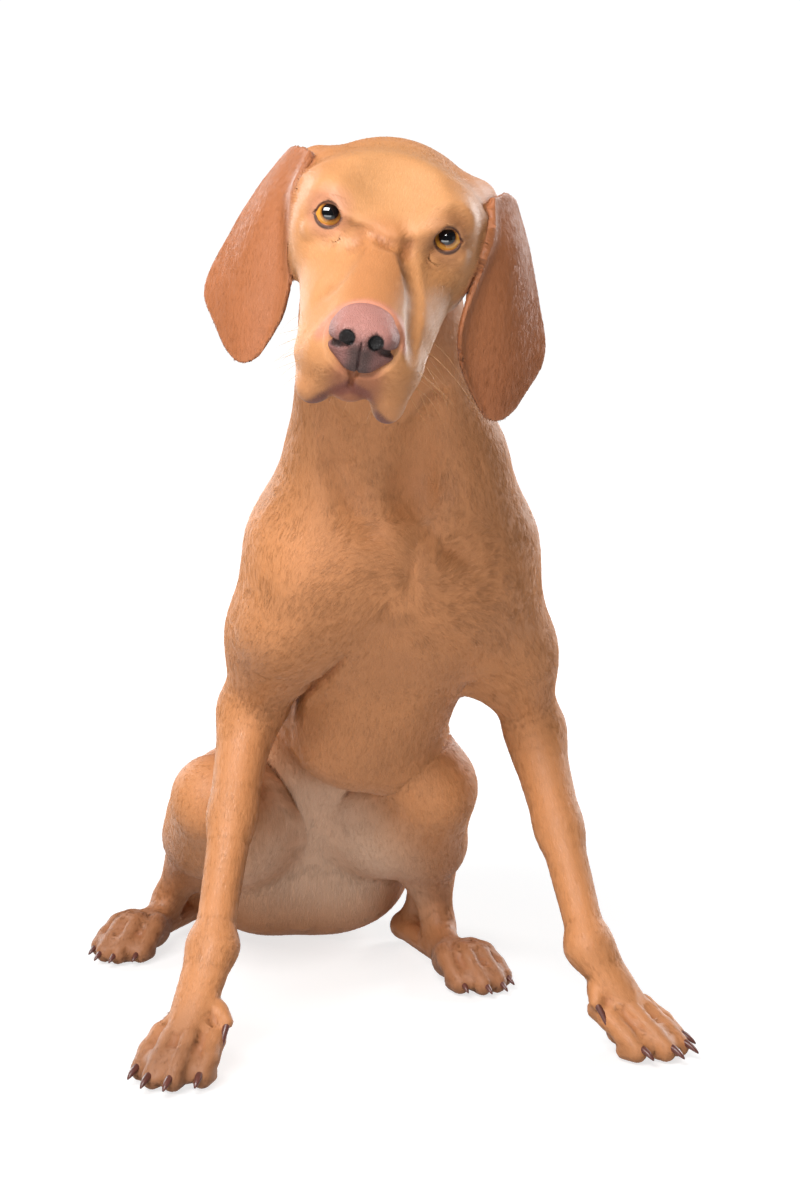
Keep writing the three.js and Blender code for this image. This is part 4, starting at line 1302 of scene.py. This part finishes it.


# ---- Whiskers ----------------------------------------------------------------------------------
def skin_places(roots):
    """Where the skin nearest to each root lies on the skin's map."""
    corners = read(skin_mesh.loops, "vertex_index", 1, np.int32)[:, 0]
    near = [np.argmin(np.linalg.norm(skin_points - root, axis=1)) for root in roots]
    loop_of = np.zeros(len(skin_points), int)
    loop_of[corners] = np.arange(len(corners))
    return read(skin_mesh.uv_layers["OFBake"].data, "uv", 2)[loop_of[near]]


def strand_piece(name, strands, look):
    """Thin tapered hairs, each (root, run, length, radius, droop), joined in one mesh."""
    steps = 8
    points, faces = [], []
    for root, run, length, radius, droop in strands:
        run = unit(run)
        side = unit(np.cross(run, [0.3, 0.2, 1]))
        over = np.cross(run, side)
        bend = rng.normal(0, 0.08, 3) + vec(0, 0, -droop)
        start = len(points)
        for n in range(steps):
            t = n / steps
            middle = root + length * (run * t + bend * t * t)
            for k in range(3):
                turn_by = 2 * math.pi * k / 3
                ring = side * math.cos(turn_by) + over * math.sin(turn_by)
                points.append(middle + ring * radius * (1 - t) ** 0.7)
        points.append(root + length * (run + bend))
        for n in range(steps - 1):
            for k in range(3):
                a, b = start + n * 3 + k, start + n * 3 + (k + 1) % 3
                faces += [(a, b, b + 3), (a, b + 3, a + 3)]
        top = start + (steps - 1) * 3
        faces += [(top + k, top + (k + 1) % 3, top + 3) for k in range(3)]
        faces.append((start + 2, start + 1, start))
    mesh = bpy.data.meshes.new(name)
    mesh.from_pydata([tuple(p) for p in to_part(np.array(points))], [], faces)
    mesh.uv_layers.new(name="OFBake")
    corners = read(mesh.loops, "vertex_index", 1, np.int32)[:, 0]
    strand, step = np.divmod(corners, steps * 3 + 1)
    place = skin_places([s[0] for s in strands])[strand]
    across = np.stack([step % 3 - 1, step / (steps * 3) * 2 - 1], 1) * PATCH / 2
    mesh.uv_layers["OFBake"].data.foreach_set("uv", (place + across).astype(np.float32).ravel())
    shade_smooth(mesh)
    mesh.materials.append(look)
    obj = placed(name, mesh)
    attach(obj, "root")
    return obj


def make_whiskers():
    strands = []
    for s in (-1, 1):
        for row in range(3):
            for n in range(4):
                root = on_surface(dog, in_head([s * 40, -92 + 13 * n, -48 - 11 * row]), -2.0)
                spread = s * rng.uniform(0.6, 1.0), rng.uniform(-0.2, 0.5), -rng.uniform(0.35, 0.9)
                length = rng.uniform(14, 26) if s < 0 else rng.uniform(24, 46)
                strands.append((root, along_head(spread), length, 0.17, rng.uniform(0.1, 0.4)))
        for n in range(4):  # over the eye
            root = on_surface(dog, in_head([s * (30 + 4 * n), -4, 22]), -1.5)
            strands.append((root, along_head([s * 0.3, -0.7, 0.6]), rng.uniform(8, 14), 0.13, 0.2))
    for n in range(12):  # under the chin
        root = on_surface(dog, in_head([rng.uniform(-14, 14), rng.uniform(-96, -60), -82]), -2.0)
        strands.append((root, along_head([rng.uniform(-0.3, 0.3), -0.2, -1]), rng.uniform(9, 20), 0.14, 0.1))
    look, tree, shader = fresh_material("whisker", 0.4)
    grained(tree, shader, WHISKER_GOLD, 200, 0.3, 0.0, 0.0001)
    strand_piece("whiskers", strands, look)


make_whiskers()


# ---- Claws -----------------------------------------------------------------------------------
CLAW_LENGTH, CLAW_RADIUS = 16, 3.1  # of the forepaws' claws
CLAW_DROOP = 0.42  # how far the tip hangs, against the length


def claw_girth(t):
    """How thick a claw is, from 1 at the root to its blunt tip."""
    return 1 - 0.2 * t - 0.55 * t**5


def make_claw(name, root, run, length, radius, look):
    """A bent, tapered horn, made of rings drawn out one after another."""
    run = unit(run)
    bm = bmesh.new()
    matrix = Vector(run).to_track_quat("Z", "Y").to_matrix().to_4x4()
    matrix.translation = Vector(root)
    bmesh.ops.create_circle(bm, segments=12, radius=radius, cap_ends=True, matrix=matrix)
    bm.faces.ensure_lookup_table()
    face = bm.faces[0]
    steps = 7
    for n in range(1, steps + 1):
        t = n / steps
        made = bmesh.ops.extrude_discrete_faces(bm, faces=[face])
        face = made["faces"][0]
        centre_next = Vector(root + run * length * t - vec(0, 0, length * CLAW_DROOP * t * t))
        shrink = claw_girth(t) / claw_girth(t - 1 / steps)
        middle = face.calc_center_median()
        for v in face.verts:
            v.co = centre_next + (v.co - middle) * shrink
    bmesh.ops.recalc_face_normals(bm, faces=bm.faces)
    for v in bm.verts:
        v.co = Vector(to_part(np.array(v.co)))
    mesh = as_mesh(bm, name)
    shade_smooth(mesh)
    mesh.materials.append(look)
    obj = placed(name + "_horn", mesh)
    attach(obj, "root")
    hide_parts(name)


def claw_look():
    look, tree, shader = fresh_material("claw_horn", 0.34)
    grained(tree, shader, CLAW_BROWN, 300, 0.9, 0.3, 0.0003)
    return look


def all_claws():
    look = claw_look()
    for kind, legs, size in (("fore", FORELEGS, 1.0), ("hind", HINDLEGS, 0.83)):
        for name, leg in legs.items():
            paw = Paw(leg["toes"], leg["heading"])
            for n, (x, y) in enumerate(toe_rows(size)):
                run = paw.forward + vec(0, 0, 0.05) + paw.left * x * 0.006
                root = paw.at(x, y - 1, 13 * size)
                girth = CLAW_RADIUS * size
                make_claw(f"claw_{kind}_{name}_{n + 1}", root, run, CLAW_LENGTH * size, girth, look)
            if kind == "fore":
                root = paw.at(-leg["side"] * 29, -52, 40)
                run = paw.forward + vec(0, 0, -0.9)
                make_claw(f"claw_fore_{name}_dew", root, run, 15, 2.6, look)


all_claws()


# ---- Stage: camera, light and floor ----------------------------------------------------------
CAMERA_PLACE = vec(0, -2400, 700)
CAMERA_DIP = math.radians(9.1)  # how far the camera looks down
FLOOR_REACH = 12  # from the middle to the edge of the floor, in m
WHITE, FLOOR_GREY = (1, 1, 1, 1), (0.3, 0.3, 0.3, 1)


def stage_set():
    camera_data = bpy.data.cameras.new("camera")
    camera = bpy.data.objects.new("camera", camera_data)
    bpy.context.scene.collection.objects.link(camera)
    camera_data.lens = 90
    camera_data.sensor_width = 36
    camera_data.clip_end = 50
    camera.location = to_part(CAMERA_PLACE)
    camera.rotation_euler = (math.radians(90) - CAMERA_DIP, 0, 0)
    bpy.context.scene.camera = camera

    bm = bmesh.new()
    bmesh.ops.create_grid(bm, x_segments=1, y_segments=1, size=FLOOR_REACH)
    floor = placed("floor", as_mesh(bm, "floor"))
    look, tree, shader = fresh_material("floor_pale", 0.35)
    # Brighter with the distance, up to white, and giving less light than it shows.
    far = vector(tree, "LENGTH", {0: object_place(tree)})["Value"]
    span = {"Value": far, "From Min": 0.5, "From Max": 2.2, "To Min": 0.72, "To Max": 1.05}
    shown = node(tree, "ShaderNodeMapRange", span).outputs["Result"]
    seen = node(tree, "ShaderNodeLightPath").outputs["Is Camera Ray"]
    span = {"Value": seen, "To Min": 0.36, "To Max": 1.0}
    given = node(tree, "ShaderNodeMapRange", span).outputs["Result"]
    glow = number(tree, "MULTIPLY", shown, given)
    feed(tree, shader, {"Base Color": FLOOR_GREY, "Emission Color": WHITE, "Emission Strength": glow})
    floor.data.materials.append(look)

    def area(name, place, target, size, watts):
        light = bpy.data.lights.new(name, "AREA")
        light.shape = "RECTANGLE"
        light.size, light.size_y = size
        light.energy = watts
        obj = bpy.data.objects.new(name, light)
        obj.location = place
        obj.rotation_euler = (Vector(target) - Vector(place)).to_track_quat("-Z", "Y").to_euler()
        bpy.context.scene.collection.objects.link(obj)

    area("key", (-0.85, -1.95, 2.35), (0, -0.2, 0.35), (2.0, 0.9), 118)
    area("fill", (2.6, -2.0, 1.0), (0, 0, 0.3), (1.6, 1.6), 2)
    area("low", (-0.5, -2.4, 0.3), (0, 0, 0.25), (2.2, 0.5), 13)
    area("back_left", (-1.7, 1.5, 1.2), (0, 0, 0.4), (0.8, 1.6), 45)
    area("back_right", (1.7, 1.5, 1.2), (0, 0, 0.4), (0.8, 1.6), 60)
    world = bpy.data.worlds.new("studio")
    world.use_nodes = True
    tree = world.node_tree
    rays = node(tree, "ShaderNodeLightPath").outputs
    lit = tree.nodes["Background"]
    strength = number(tree, "MULTIPLY_ADD", rays["Is Glossy Ray"], -0.11, 0.15)
    feed(tree, lit, {"Color": WHITE, "Strength": strength})
    shown = node(tree, "ShaderNodeBackground", {"Color": WHITE, "Strength": 1.05})
    sides = {0: rays["Is Camera Ray"], 1: lit.outputs[0], 2: shown.outputs[0]}
    either = node(tree, "ShaderNodeMixShader", sides).outputs[0]
    feed(tree, tree.nodes["World Output"], {"Surface": either})
    bpy.context.scene.world = world
    bpy.context.scene.view_settings.view_transform = "Standard"


stage_set()
